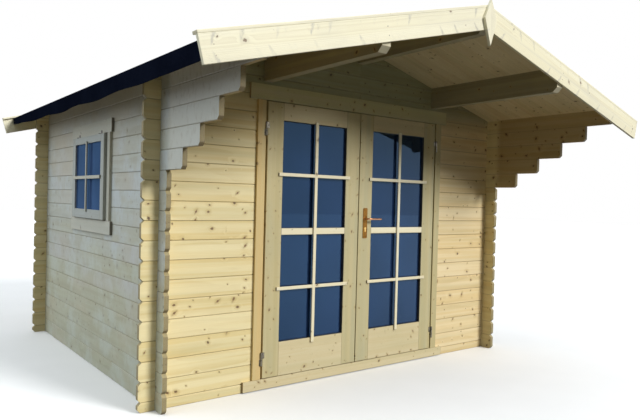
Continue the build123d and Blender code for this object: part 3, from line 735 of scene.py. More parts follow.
# %% [markdown]
# ## Rubber strips, with painted shade
# A dark strip seals the glass in its groove and shows as a thin line round each pane. A dark
# line in the glass would be quicker, but it would vanish when the door turns. Four mitred
# strips in front of the glass and four behind it line the opening. They line its whole depth,
# so their dark colour is partly the rubber's own and partly a painted shade of the recess.

# %% Rubber strips round the panes
rubber_and_shade = Finish("glazing_rubber_and_shade")
dusty = rubber_and_shade.noise(rubber_and_shade.place(), 60.0, 3.0)
# Painted shade: the strips cover the whole reveal in near-black, as rubber and as the recess's shade.
tone = rubber_and_shade.mix(rubber_and_shade.smooth(dusty, 0.4, 0.75) * 0.5, (0.022, 0.020, 0.016), (0.060, 0.052, 0.038))
rubber_and_shade_material = rubber_and_shade.surface(
    {"IOR": 1.45}, colour=tone, roughness=rubber_and_shade.smooth(dusty, 0.3, 0.7, 0.5, 0.75),
    normal=rubber_and_shade.bump(dusty, 0.0003, 0.4),
)
front_strip, rear_strip, strip_edge, glass_gap = 0.0020, 0.0035, 0.0004, 0.0003
front_recess, rear_recess = 0.0025, 0.0060


def ring_strip(planks, wide, tall, near, far, thickness):
    """Four mitred strips that line an opening, from near to far in depth."""
    outer = rectangle(wide, tall)
    inner = rectangle(*((start + thickness, end - thickness) for start, end in (wide, tall)))
    for here, there in around(4):
        outline = [(x, near, z) for x, z in (outer[here], outer[there], inner[there], inner[here])]
        planks.add(outline, (0, far - near, 0), Vector(outline[1]) - Vector(outline[0]), strip_edge)


for side, sign in sides:
    low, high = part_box(f"{side}_door_leaf")
    glass_low, glass_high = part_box(f"{side}_door_glass")
    strips = Planks(f"{side}_leaf_rubber", 57)
    for pane in panes:
        opening = ((low.x + stile, high.x - stile), pane)
        ring_strip(strips, *opening, low.y + front_recess, glass_low.y - glass_gap, front_strip)
        ring_strip(strips, *opening, glass_high.y + glass_gap, high.y - rear_recess, rear_strip)
    strips.show(rubber_and_shade_material, f"{side}_leaf")

# %% [markdown]
# ## Door frame
# The frame is three layers: a board outside, a lining in the thickness of the wall and a
# board inside that stops the leaf. One thick post would look right from the front only. The
# layers show when the door is open. The left jamb is yellower than all the rest.

# %% Jambs
board_thickness, lining, reveal, jamb_board = 0.018, 0.030, 0.009, 0.059
door_edge, inside_before, inside_after = 0.783, 0.012, 0.048
jamb_woods = {"left": jamb_wood, "right": door_wood}
for side, sign in sides:
    low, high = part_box(f"{side}_door_jamb")
    skin, back, tall = low.y + board_thickness, high.y - board_thickness, (low.z, high.z)
    board_edge = door_edge + reveal
    jamb = Planks(f"{side}_jamb_boards", 41 + sign)
    jamb.lay(((board_edge, board_edge + jamb_board), (low.y, skin), tall, "Z", "Y"),
             ((door_edge, door_edge + lining), (skin, back), tall, "Z", "X"),
             ((door_edge - inside_before, door_edge + inside_after), (back, high.y), tall, "Z", "Y"),
             side=sign)
    jamb.show(jamb_woods[side], "root", [f"{side}_door_jamb"])

# %% Head and threshold
lining_reach, stop_reach = door_edge + lining, 0.7707
head_drop, head_lining, head_stop, sill_low = 0.097, 0.032, 0.060, 0.0573
low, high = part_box("door_head")
head = Planks("head_boards", 47)
skin, back, lining_low = low.y + board_thickness, high.y - board_thickness, high.z - head_drop
head.lay(((low.x, high.x), (low.y, skin), (lining_low, high.z), "X", "Y"),
         ((-lining_reach, lining_reach), (skin, back), (lining_low, lining_low + head_lining), "X", "Z"),
         ((-stop_reach, stop_reach), (back, high.y), (low.z, low.z + head_stop), "X", "Y"))
head.show(head_wood, "root", ["door_head"])

low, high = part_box("threshold")
sill = Planks("threshold_boards", 53)
skin = low.y + board_thickness
sill.lay(((low.x, high.x), (low.y, skin), (low.z, high.z), "X", "Y"),
         ((-lining_reach, lining_reach), (skin, high.y), (sill_low, high.z), "X", "Z"))
sill.show(rail_wood, "root", ["threshold"])

# %% [markdown]
# ## Windows
# A window has a wide board above and below, a narrow strip at each side, and a sash that
# stands proud of them. Both windows could be modelled one by one. The right one is the mirror
# of the left one, so the rows of boards are written once, for the right side, and laid with
# a sign. As on the doors, battens lie on both faces of the sash.

# %% Window frames
window_gap, strip_width, window_lining = 0.005, 0.053, 0.022


def window_frame(side, sign):
    low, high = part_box(f"{side}_window_frame")
    sash_low, sash_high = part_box(f"{side}_window_sash")
    inside, outside = sorted((abs(low.x), abs(high.x)))
    skin, inner_skin = outside - board_thickness, inside + board_thickness
    front, rear = sash_low.y - window_gap, sash_high.y + window_gap
    bottom, above = sash_low.z - window_gap, sash_high.z + window_gap
    outdoor, indoor, between = (skin, outside), (inside, inner_skin), (inner_skin, skin)
    front_board, rear_board = (front - strip_width, front), (rear, rear + strip_width)
    upright = (bottom, above)
    boards = Planks(f"{side}_window_boards", 61 + sign)
    boards.lay((outdoor, (low.y, high.y), (above, high.z), "Y", "X", planed_edge),
               (outdoor, (low.y, high.y), (low.z, bottom), "Y", "X", planed_edge), side=sign)
    for board in (front_board, rear_board):
        boards.lay((outdoor, board, upright, "Z", "X"), (indoor, board, upright, "Z", "X"), side=sign)
    wide, lined = (front_board[0], rear_board[1]), (front - window_lining, rear + window_lining)
    boards.lay((indoor, wide, (above, above + strip_width), "Y", "X"),
               (indoor, wide, (bottom - strip_width, bottom), "Y", "X"),
               (between, (lined[0], front), upright, "Z", "Y"),
               (between, (rear, lined[1]), upright, "Z", "Y"),
               (between, lined, (above, above + window_lining), "Y", "Z"),
               (between, lined, (bottom - window_lining, bottom), "Y", "Z"), side=sign)
    boards.show(window_wood, "root", [f"{side}_window_frame"])


print("frame boards of", board_thickness)

# %% Window sashes and their bars
sash_stile, sash_bottom, sash_top = 0.066, 0.064, 0.050
half_bar, bar_thickness, cross_height, slimmer, thicker = 0.0115, 0.010, 1.345, 0.0012, 0.001
front_lap, rear_lap, low_lap, top_lap = 0.014, 0.022, 0.016, 0.012


def window_sash(side, sign):
    low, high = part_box(f"{side}_window_sash")
    far, near = sorted((abs(low.x), abs(high.x)))
    front, rear = low.y + sash_stile, high.y - sash_stile
    bottom, above = low.z + sash_bottom, high.z - sash_top
    sash = Planks(f"{side}_sash_frame", 71 + sign)
    sash.lay(((far, near), (low.y, front), (low.z, high.z), "Z", "X", planed_edge),
             ((far, near), (rear, high.y), (low.z, high.z), "Z", "X", planed_edge),
             ((far, near), (front, rear), (low.z, bottom), "Y", "X", planed_edge),
             ((far, near), (front, rear), (above, high.z), "Y", "X", planed_edge), side=sign)
    sash.show(sash_wood, "root", [f"{side}_window_sash"])

    middle, slim_half = (front + rear) / 2, half_bar - slimmer
    bars = Planks(f"{side}_window_glazing_bars", 81 + sign)
    for face, out in ((near, 1), (far, -1)):
        bars.lay(((face, face + out * bar_thickness), (front - front_lap, rear + rear_lap),
                  (cross_height - half_bar, cross_height + half_bar), "Y", "X", bar_edge),
                 ((face, face + out * (bar_thickness + thicker)), (middle - slim_half, middle + slim_half),
                  (bottom - low_lap, above + top_lap), "Z", "X", bar_edge), side=sign)
    bars.show(window_wood)


for side, sign in sides:
    window_frame(side, sign)
    window_sash(side, sign)

# %% [markdown]
# ## Bargeboards, cap strips and finials
# The boards on the gable's edges follow the slope, a thin strip caps each board and a pointed
# diamond covers the joint at the top. Level boards could be turned into place, but their ends
# have to stay upright at the ridge. So each outline is laid out on the slope: a distance
# down from the ridge and a height square to it.

# %% Places on the slope
roof_pitch = math.radians(15)
fit = 0.0003
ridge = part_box("ridge_purlin")[1].z + fit


def on_slope(sign, down, above, y):
    return Vector((sign * (down * math.cos(roof_pitch) + above * math.sin(roof_pitch)), y,
                   ridge - down * math.sin(roof_pitch) + above * math.cos(roof_pitch)))


def at_ridge(sign, above, y):
    """The place above or below the ridge where the two slopes nearly touch."""
    return on_slope(sign, (fit / 2 - above * math.sin(roof_pitch)) / math.cos(roof_pitch), above, y)


def slope_ways(sign):
    """The direction down the slope and the direction square to it."""
    foot = on_slope(sign, 0, 0, 0)
    return on_slope(sign, 1, 0, 0) - foot, on_slope(sign, 0, 1, 0) - foot


print("ridge at", round(ridge, 4))

# %% Boards on the slope
felt_top, barge_height, cap_thickness, finial_middle = 0.0223, 0.122, 0.014, 0.152
barge_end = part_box("front_right_bargeboard")[1].x
barge_reach = (barge_end - felt_top * math.sin(roof_pitch)) / math.cos(roof_pitch)


def slope_board(planks, sign, bottom, top, y_low, y_high):
    """A board along the edge of the roof, between two heights above the slope."""
    corners = [at_ridge(sign, bottom, y_low), on_slope(sign, barge_reach, bottom, y_low),
               on_slope(sign, barge_reach, top, y_low), at_ridge(sign, top, y_low)]
    planks.add(corners, (0, y_high - y_low, 0), slope_ways(sign)[0], planed_edge)


for end, out in ends:
    boards = Planks(f"{end}_gable_boards", 94 + 3 * out)
    cap_low, cap_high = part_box(f"{end}_cap_strips")
    for side, sign in sides:
        low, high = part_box(f"{end}_{side}_bargeboard")
        slope_board(boards, sign, felt_top - barge_height, felt_top, low.y, high.y)
        slope_board(boards, sign, felt_top + fit, felt_top + fit + cap_thickness, cap_low.y, cap_high.y)
    low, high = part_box(f"{end}_finial")
    middle = low.z + finial_middle
    diamond = [(low.x, low.y, middle), (0, low.y, low.z), (high.x, low.y, middle), (0, low.y, high.z)]
    boards.add(diamond, (0, high.y - low.y, 0), (0, 0, 1), planed_edge)
    covered = [f"{end}_{part}" for part in ("left_bargeboard", "right_bargeboard", "cap_strips", "finial")]
    boards.show(pale_wood, "root", covered, "pale_wood")

# %% [markdown]
# ## Boards laid side by side
# The roof and the floor are many equal boards. A loop could add them one by one, but the row
# would have to be built again for every change. Geometry Nodes repeat one board along a line:
# the tree takes the step from board to board and their number, gives each board a number
# of its own for its tone, and makes all of them real at the end.

# %% A tree that repeats a board
class Tree(Finish):
    """Geometry nodes, made with the same node method as a finish."""

    def __init__(self, name, sockets):
        self.tree = bpy.data.node_groups.new(name, "GeometryNodeTree")
        face = self.tree.interface
        face.new_socket("Geometry", in_out="INPUT", socket_type="NodeSocketGeometry")
        self.keys = {}
        for label, kind in sockets:
            socket = face.new_socket(label, in_out="INPUT", socket_type=f"NodeSocket{kind}")
            self.keys[label] = socket.identifier
        face.new_socket("Geometry", in_out="OUTPUT", socket_type="NodeSocketGeometry")
        group = self.tree.nodes.new("NodeGroupInput")
        self.given = {socket.name: Value(self, socket) for socket in group.outputs if socket.name}

    def close(self, geometry, material):
        real = self.node("GeometryNodeRealizeInstances", {}, {"Geometry": geometry}, "Geometry")
        done = self.node("GeometryNodeSetMaterial", {}, {"Geometry": real, "Material": material})
        output = self.tree.nodes.new("NodeGroupOutput")
        self.tree.links.new(done.socket, output.inputs[0])

    def grow(self, mesh, values, name):
        """Runs the tree on a mesh and returns the result as a plain mesh."""
        seedling = add_object(name, mesh)
        modifier = seedling.modifiers.new("grow", "NODES")
        modifier.node_group = self.tree
        for label, value in values.items():
            modifier[self.keys[label]] = value
        return plain_mesh(seedling, name)


def plain_mesh(thing, name):
    """The mesh of an object with its modifiers applied; the object itself is removed."""
    bpy.context.view_layer.update()
    graph = bpy.context.evaluated_depsgraph_get()
    result = bpy.data.meshes.new_from_object(thing.evaluated_get(graph))
    result.name = name
    bpy.data.objects.remove(thing)
    return result


def board_row_tree(name, material):
    t = Tree(name, [("Step", "Vector"), ("Count", "Int"), ("Seed", "Int")])
    line = t.node("GeometryNodeMeshLine", {"mode": "OFFSET"},
                  {"Count": t.given["Count"], "Offset": t.given["Step"]})
    blank = t.node("GeometryNodeRemoveAttribute", {}, {"Geometry": t.given["Geometry"], "Name": "plank"})
    copies = t.node("GeometryNodeInstanceOnPoints", {}, {"Points": line, "Instance": blank})
    number = t.node("FunctionNodeRandomValue", {"data_type": "FLOAT"}, {"Seed": t.given["Seed"]}, 1)
    marked = t.node("GeometryNodeStoreNamedAttribute", {"data_type": "FLOAT", "domain": "INSTANCE"},
                    {"Geometry": copies, "Name": "plank", "Value": (number * 900.0).floor()})
    t.close(marked, material)
    return t


board_row = board_row_tree("row_of_boards", board_wood)
print("board tree takes", ", ".join(board_row.keys))

# %% Roof boards
roof_board_width, roof_thickness, board_bevel, half_joint = 0.0915, 0.019, 0.003, 0.0002
for side, sign in sides:
    low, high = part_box(f"{side}_roof_boards")
    count = int((high.y - low.y) // roof_board_width)
    step = (high.y - low.y) / count
    eaves = max(abs(low.x), abs(high.x))
    slope_reach = (eaves - roof_thickness * math.sin(roof_pitch)) / math.cos(roof_pitch)
    y0, y1 = low.y + half_joint, low.y + step - half_joint
    foot = on_slope(sign, 0, 0, 0)
    run, up = slope_ways(sign)
    profile = [(0, y0 + board_bevel), (board_bevel, y0), (roof_thickness, y0),
               (roof_thickness, y1), (board_bevel, y1), (0, y1 - board_bevel)]
    single = Planks(f"{side}_roof_board", 101)
    single.add([at_ridge(sign, above, y) for above, y in profile], run * slope_reach, run, 0)
    offsets = [Vector(point) - foot for point in single.points]
    single.grain = [value for offset in offsets
                    for value in (offset.dot(run), offset.y - y0 - step / 2, offset.dot(up))]
    wanted = {"Step": (0, step, 0), "Count": count, "Seed": 7 + sign}
    row = board_row.grow(single.mesh(), wanted, f"{side}_boarding")
    place_piece(f"{side}_roof_boarding", row, board_wood, "root", [f"{side}_roof_boards"])

# %% Floor boards
floor_count, half_joint, floor_bevel = 24, 0.0004, 0.0012
low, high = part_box("floor_boards")
step = (high.y - low.y) / floor_count
single = Planks("floor_board", 103)
single.lay(((low.x, high.x), (low.y + half_joint, low.y + step - half_joint), (low.z, high.z),
            "X", "Z", floor_bevel))
wanted = {"Step": (0, step, 0), "Count": floor_count, "Seed": 3}
row = board_row.grow(single.mesh(), wanted, "flooring")
place_piece("floor_boarding", row, board_wood, "root", ["floor_boards"])

# %% [markdown]
# ## Purlins and joists
# Purlins carry the roof and joists carry the floor. They are plain beams, and rebuilding them
# as planks would add nothing. So they stay CAD pieces and get a finish on Object
# coordinates, with the grain along one axis and a seed from where each beam lies. The purlins'
# faces are painted dark as shade under the roof, and only their ends keep the wood's pale tone.

# %% Finish for beams
def beam_finish(name, run, lane, **changes):
    """Spruce on Object coordinates; lane is the distance between two neighbouring beams."""
    f, look = Finish(name), dict(warm_spruce, **changes)
    place, facing = f.parts(f.place()), f.parts(f.place("Normal"))
    lengthwise = "XY".index(run)
    beside = place[1 - lengthwise]
    number = (beside / lane + 0.5).floor()
    spot = (place[lengthwise], place[2] - 2.1, beside - number * lane, number + 20.0)
    tone, gloss, height = spruce(f, *spot, look)
    tone = f.mix(f.smooth(facing[lengthwise].size(), 0.5, 0.8) * 0.85, tone, look["sawn"])
    return spruce_surface(f, tone, gloss, height)


# Painted shade: the purlins' faces are dark; their ends keep the pale tone of the wood.
shaded_purlin_wood = beam_finish(
    "purlin_spruce_painted_shade", "Y", 0.775, pale=(0.32, 0.285, 0.17), warm=(0.28, 0.235, 0.13),
    band=(0.34, 0.30, 0.19), ring_colour=(0.22, 0.17, 0.08), knot_share=0.4, sawn=(0.66, 0.60, 0.42))
joist_wood = beam_finish(
    "joist_spruce", "X", 0.6, pale=(0.40, 0.42, 0.26), warm=(0.34, 0.37, 0.22), band=(0.42, 0.45, 0.29),
    ring_colour=(0.27, 0.27, 0.15), sawn=(0.30, 0.24, 0.12))
dress(shaded_purlin_wood, "left_purlin", "ridge_purlin", "right_purlin")
dress(joist_wood, "floor_joists")

# %% [markdown]
# ## Roofing felt
# The roof is covered with dark felt in strips that lap over each other. At the left eaves
# the felt hangs down loose, with a wavy lower edge, and at the right it is cut short. Cloth
# could be draped over the roof, but felt is stiff and hardly sags. So each strip is a grid of
# points on the slope, with a gentle wave on the loose skirt, and Solidify gives it thickness.

# %% Finish for felt
felt = Finish("roofing_felt")
place = felt.place()
grit = felt.noise(place, 520.0, 2.0, 0.6)
chips = felt.noise(place, 150.0, 2.0, 0.7)
blotch = felt.noise(place, 3.5, 4.0, 0.6)
tone = felt.mix(felt.smooth(blotch, 0.35, 0.7), (0.0036, 0.0050, 0.0115), (0.0060, 0.0082, 0.0175))
tone = felt.mix(felt.smooth(chips, 0.50, 0.72) * 0.35, tone, (0.014, 0.018, 0.034))
tone = felt.mix(felt.smooth(grit, 0.52, 0.75) * 0.3, tone, (0.035, 0.042, 0.066))
felt_material = felt.surface(
    {"IOR": 1.4, "Specular IOR Level": 0.0}, colour=tone, normal=felt.bump(grit, 0.0012, 0.6),
    roughness=felt.smooth(grit, 0.3, 0.7, 0.95, 0.8),
)
print("felt finish ready")

# %% The shape of a strip
felt_low, felt_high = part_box("roof_felt")
felt_lengths, felt_thickness, waviness, rear_lift = 120, 0.0020, 0.14, 0.040
ripple, skirt_inset, skirt_sway = 0.0003, 0.0022, 0.006
hanging = {-1: 0.095, 1: 0.025}
waver = random.Random(5)
waves = [(waver.uniform(2, 9), waver.uniform(0, 6.3), waver.uniform(0.2, 1)) for _ in range(5)]


def wave(y):
    return sum(share * math.sin(rate * y + turn) for rate, turn, share in waves) / 3.0


def felt_rows(sign, stations, y_low, y_high, skirt):
    """Points of a strip: its stations on the slope, and for the lowest strip the loose skirt."""
    loose = sign < 0
    rows = []
    for index in range(felt_lengths + 1):
        y = y_low + (y_high - y_low) * index / felt_lengths
        row = [on_slope(sign, down, above + ripple * wave(y * 2.1 + down * 9), y)
               for down, above in stations]
        if skirt:
            row[-1] = on_slope(sign, *stations[-1], y)
            eaves_z = row[-1].z
            rise = rear_lift * max(0.0, y - y_high + 1.0)
            drop = hanging[sign] * (1.0 + waviness * wave(y) * loose) - rise * loose
            for part in (0.06, 0.25, 0.5, 0.75, 1.0):
                inward = skirt_inset + skirt_sway * part * max(0.0, wave(y * 1.6 + 2.0)) * loose
                row.append(Vector((sign * (felt_high.x - inward), y, eaves_z - drop * part)))
        rows.append(row)
    return rows


print("felt hangs", hanging)

# %% Felt strips
lap, strips, felt_edge, felt_seat, lap_rise = 0.070, 3, 0.0005, 0.0008, 0.0012
slope_length = (felt_high.x - felt_thickness) / math.cos(roof_pitch) - felt_top * math.tan(roof_pitch)
felt_points, felt_faces = [], []
for _, sign in sides:
    for number in range(strips):
        lapped, lowest = number > 0, number == strips - 1
        upper = slope_length * number / strips - lap * lapped
        lower = slope_length * (number + 1) / strips
        above = felt_top - felt_seat - lap_rise * lapped
        stations = [(upper + (lower - upper) * part, above + lap_rise * (part > 0.9 and not lowest))
                    for part in (0.0, 0.08, 0.3, 0.5, 0.7, 0.92, 1.0)]
        if not lapped:
            stations[0] = ((0.0001 - above * math.sin(roof_pitch)) / math.cos(roof_pitch), above)
        rows = felt_rows(sign, stations, felt_low.y + felt_edge, felt_high.y - felt_edge, lowest)
        start, width = len(felt_points), len(rows[0])
        felt_points += [point[:] for row in rows for point in row]
        for index in range(felt_lengths):
            for column in range(width - 1):
                a = start + index * width + column
                quad = (a, a + 1, a + width + 1, a + width)
                felt_faces.append(quad[::sign])
felt_mesh = bpy.data.meshes.new("felt")
felt_mesh.from_pydata(felt_points, [], felt_faces)
felt_object = add_object("felt", felt_mesh)
shell = felt_object.modifiers.new("thickness", "SOLIDIFY")
shell.thickness = felt_thickness
shell.offset = -1
sheets = plain_mesh(felt_object, "felt_sheets")
place_piece("felt_sheets", sheets, felt_material, "root", ["roof_felt"])

# %% [markdown]
# ## Glass
# From outside, by day, a window is mostly a dark mirror: little light comes from the room,
# and the pane shows a blue sky. Clear glass would mirror the white studio and show a pale
# room. So the glass is dark, smooth and bluish, with the last bit of light let through. Its
# dark blue colour is a painted shade of the room and a painted reflection of the sky, and its
# blue specular tint, with some metal on the windows, paints the blue sky into its reflections.

# %% Glass of doors and windows
def glass_finish(name, painted_room_and_sky, index, painted_sky_tint, alpha, mirror):
    f = Finish(name)
    streak = f.noise(f.place(), 2.2, 3.0)
    # Painted reflection and shade: the blue base colour and blue specular tint stand in for a dark room and
    # a blue sky.
    return f.surface(
        {"IOR": index, "Specular Tint": (*painted_sky_tint, 1), "Metallic": mirror},
        colour=f.mix(f.smooth(streak, 0.3, 0.7), painted_room_and_sky, tuple(0.6 * c for c in painted_room_and_sky)),
        roughness=f.smooth(streak, 0.2, 0.8, 0.015, 0.035),
        alpha=f.smooth(streak, 0.2, 0.8, alpha - 0.02, alpha + 0.02),
    )


door_glass = glass_finish("door_glass", (0.013, 0.031, 0.088), 1.75, (0.26, 0.56, 1.0), 0.93, 0.0)
window_glass = glass_finish("window_glass", (0.070, 0.128, 0.285), 1.02, (0.50, 0.75, 1.0), 0.97, 0.20)
dress(door_glass, "left_door_glass", "right_door_glass")
dress(window_glass, "left_window_glass", "right_window_glass")

# %% [markdown]
# ## Metal
# The hinges are zinc plated steel, the handle and its plates are aged brass. One metal in
# five colours could be even all over, but handled metal is cloudy. So each finish has two
# tones, a roughness that goes with them and a fine brushed bump.

# %% Finishes for metal
def metal_finish(name, colour, dull, roughness):
    f = Finish(name)
    place = f.place()
    cloud = f.noise(place, 90.0, 4.0, 0.6)
    brush = f.noise(place, 1400.0, 1.0)
    tone = f.mix(f.smooth(cloud, 0.4, 0.7), colour, dull)
    gloss = f.smooth(cloud, 0.3, 0.75, roughness, roughness + 0.18)
    return f.surface({"Metallic": 1.0}, colour=tone, roughness=gloss, normal=f.bump(brush, 0.0002, 0.25))


zinc = metal_finish("zinc_plate", (0.21, 0.19, 0.15), (0.09, 0.08, 0.06), 0.36)
brass = metal_finish("aged_brass", (0.22, 0.105, 0.022), (0.11, 0.052, 0.012), 0.36)
bronze = metal_finish("lever_bronze", (0.62, 0.34, 0.20), (0.30, 0.11, 0.045), 0.20)
bright_brass = metal_finish("bright_brass", (0.86, 0.58, 0.20), (0.70, 0.42, 0.12), 0.22)
dark_steel = metal_finish("dark_steel", (0.13, 0.12, 0.11), (0.07, 0.065, 0.06), 0.40)
dress(brass, "handle_plates")
dress(bright_brass, "lock_cylinder")

# %% [markdown]
# ## Turned and bent metal
# Barrels, necks and pins are turned, so each is a row of circles along an axis. The lever is
# a round bar that is bent once and gets thinner, which is the same row on a curved path.
# Cylinders and a curve with a bevel could be joined, but where they meet a step would show.
# So both come from one maker that skins circles, and flat plates share the planks' prism.

# %% A maker of metal pieces
def skin_circles(form, circles):
    """Closes a row of circles into a solid and returns the points of the last one."""
    rows = [[form.verts.new(point) for point in circle] for circle in circles]
    for row, following in zip(rows, rows[1:]):
        for here, there in around(len(row)):
            form.faces.new((row[here], row[there], following[there], following[here]))
    form.faces.new(rows[0][::-1])
    form.faces.new(rows[-1])
    return rows[-1]


def as_mesh(form, name):
    mesh = bpy.data.meshes.new(name)
    form.to_mesh(mesh)
    form.free()
    return mesh


class Metalwork:
    """Round and flat metal pieces, gathered into one mesh."""

    def __init__(self, name):
        self.name = name
        self.form = bmesh.new()

    def sweep(self, stations, segments=20):
        """stations: middle, direction and radius of each circle along a path."""
        angles = [2 * math.pi * step / segments for step in range(segments)]
        circles = []
        for middle, direction, radius in stations:
            direction = Vector(direction).normalized()
            beside = direction.orthogonal() if abs(direction.z) > 0.9 else direction.cross((0, 0, 1))
            beside.normalize()
            rise = beside.cross(direction)
            circles.append([Vector(middle) + (beside * math.cos(a) + rise * math.sin(a)) * radius
                            for a in angles])
        skin_circles(self.form, circles)

    def turn(self, foot, axis, profile, segments=24):
        """profile: pairs of distance from the foot and radius."""
        foot, axis = Vector(foot), Vector(axis)
        self.sweep([(foot + axis * distance, axis, radius) for distance, radius in profile], segments)

    def plate(self, outline, depth, edge=0.0005):
        form = prism(outline, depth)
        round_edges(form, edge)
        part = as_mesh(form, "part")
        self.form.from_mesh(part)
        bpy.data.meshes.remove(part)

    def show(self, material, body, replaced, slot):
        bmesh.ops.recalc_face_normals(self.form, faces=self.form.faces)
        mesh = as_mesh(self.form, self.name)
        mesh.polygons.foreach_set("use_smooth", [True] * len(mesh.polygons))
        mesh.set_sharp_from_angle(angle=math.radians(38))
        place_piece(self.name, mesh, material, body, replaced)


print("metal maker ready")

# %% [markdown]
# ## Door hinges
# A lift-off hinge has a fixed knuckle with a pin below and a moving knuckle that drops onto
# it, each with a screwed plate. As one mesh the moving half would stay behind when the door
# opens. So the halves are pieces of their own, and each rides on its own body.

# %% Knuckles and plates of the door hinges
barrel, knuckle, knuckle_gap, pin_radius, pin_sink = 0.0065, 0.044, 0.0003, 0.0034, 0.0004
plate_inset, plate_metal, plate_start, plate_reach, leaf_plate_end = 0.003, 0.002, 0.0035, 0.012, 0.766
screw_seat, screw_run, screw_heights = 0.0019, 0.70, (0.28, 0.72)
knuckle_profile = [(0.0, 0.0030), (0.0006, 0.0052), (0.0022, barrel), (knuckle - 0.0030, barrel),
                   (knuckle - 0.0022, barrel - 0.0009), (knuckle - 0.0008, barrel - 0.0009),
                   (knuckle, barrel - 0.0004)]
pin_profile = [(0, pin_radius), (knuckle - 0.002, pin_radius), (knuckle - 0.001, 0.0025)]
hinge_works = {"root": (Metalwork("jamb_knuckles"), "jamb_hinges"),
               "left_leaf": (Metalwork("left_knuckles"), "left_leaf_hinges"),
               "right_leaf": (Metalwork("right_knuckles"), "right_leaf_hinges")}
hinge_screws = {body: [] for body in hinge_works}
hinge_low, hinge_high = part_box("left_leaf_hinges")
hinge_y, plate_back = (hinge_low.y + hinge_high.y) / 2, hinge_high.y
jamb_plate_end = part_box("jamb_hinges")[1].x
hinge_x = jamb_plate_end - plate_reach


def hinge_plate(body, start, end, bottom):
    """A plate from start to end along x, with the places of its two screws."""
    corners = rectangle((start, end), (bottom + plate_inset, bottom + knuckle - plate_inset))
    hinge_works[body][0].plate([(x, plate_back, z) for x, z in corners], (0, -plate_metal, 0))
    for share in screw_heights:
        screw_x = start * (1 - screw_run) + end * screw_run
        screw_place = (screw_x, plate_back - screw_seat, bottom + knuckle * share)
        hinge_screws[body].append((screw_place, (0, -1, 0)))


for side, sign in sides:
    for seat in (hinge_low.z, hinge_high.z - knuckle):
        seat_x, foot, leaf = hinge_x * sign, seat - knuckle_gap - knuckle, f"{side}_leaf"
        fixed, moving = hinge_works["root"][0], hinge_works[leaf][0]
        fixed.turn((seat_x, hinge_y, foot), (0, 0, 1), knuckle_profile)
        fixed.turn((seat_x, hinge_y, seat - pin_sink), (0, 0, 1), pin_profile)
        moving.turn((seat_x, hinge_y, seat + knuckle), (0, 0, -1), knuckle_profile)
        hinge_plate("root", seat_x + sign * plate_start, sign * jamb_plate_end, foot)
        hinge_plate(leaf, seat_x - sign * plate_start, sign * leaf_plate_end, seat)
for body, (work, covered) in hinge_works.items():
    work.show(zinc, body, [covered], "zinc")

# %% [markdown]
# ## Lever
# The lever leaves the plate as a round neck, bends to the side and tapers towards a rounded
# end. It could be joined from a peg and a bar. As one sweep it has a real bend: its path is a
# straight piece, a quarter circle and a long piece that droops slightly.

# %% Lever on both faces of the leaf
lever_low, lever_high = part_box("lever_handle")
leaf_front, leaf_rear = (corner.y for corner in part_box("right_door_leaf"))
lever = Metalwork("lever_bars")
neck_inset, collar, neck, bend, bend_steps, droop = 0.008, 0.0078, 0.0066, 0.014, 6, 0.0012
grip_half, spindle, spindle_gap = 0.008, 0.0050, 0.0002
neck_x, lever_z = lever_low.x + neck_inset, (lever_low.z + lever_high.z) / 2
grip = ((0.15, 0.0072), (0.4, 0.0066), (0.7, 0.0060), (0.88, 0.0064), (0.95, 0.0062), (0.985, 0.0048),
        (0.999, 0.0020))
for face, out, tip_y in ((leaf_front, -1, lever_low.y), (leaf_rear, 1, lever_high.y)):
    grip_y = tip_y - out * grip_half
    stations = [((neck_x, face + out * lift, lever_z), (0, out, 0), radius)
                for lift, radius in ((0, collar), (0.008, collar), (0.011, neck))]
    for step in range(bend_steps + 1):
        angle = math.pi / 2 * step / bend_steps
        turned, left = math.sin(angle), math.cos(angle)
        middle = (neck_x + bend * (1 - left), grip_y - out * bend * (1 - turned), lever_z)
        stations.append((middle, (turned, out * left, 0), neck + 0.0006 * step / bend_steps))
    length = lever_high.x - neck_x - bend
    for share, radius in grip:
        middle = (neck_x + bend + length * share, grip_y, lever_z - droop * share * share)
        stations.append((middle, (1, 0, 0), radius))
    lever.sweep(stations, 24)
spindle_length = leaf_rear - leaf_front - 2 * spindle_gap
spindle_foot = (neck_x, leaf_front + spindle_gap, lever_z)
lever.turn(spindle_foot, (0, 1, 0), [(0, spindle), (spindle_length, spindle)], 4)
lever.show(bronze, "lever", ["lever_handle"], "brass")

# %% [markdown]
# ## Handle plates and lock
# The long plates and the lock's cylinder have the right shape in the CAD model, but its edges
# are sharp and catch no light. They could be rebuilt. A weld and a small bevel on the CAD
# pieces are enough. On each end of the cylinder lies a thin dark plate in the shape of the
# keyway, a painted shade of the slot.

# %% Rounded edges for the handle plates and the lock
for name, width in (("handle_plates", 0.0008), ("lock_cylinder", 0.0004)):
    weld = nodes[name].modifiers.new("weld", "WELD")
    weld.merge_threshold = 0.00001
    rounding = nodes[name].modifiers.new("rounding", "BEVEL")
    rounding.width = width
    rounding.segments = 2
    rounding.limit_method = "ANGLE"
    rounding.angle_limit = math.radians(50)
    print(name, "rounded by", width)

# %% Keyways
keyway_outline = [(-0.0007, 0.0045), (0.0007, 0.0045), (0.0007, 0.0015), (0.0013, 0.0005),
                  (0.0007, -0.0006), (0.0007, -0.0052), (-0.0007, -0.0052), (-0.0007, -0.0020),
                  (-0.0013, -0.0010), (-0.0007, 0.0002)]
lock_low, lock_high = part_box("lock_cylinder")
key_drop, keyway_depth = 0.0085, 0.0002
lock_x, key_z = (lock_low.x + lock_high.x) / 2, lock_high.z - key_drop
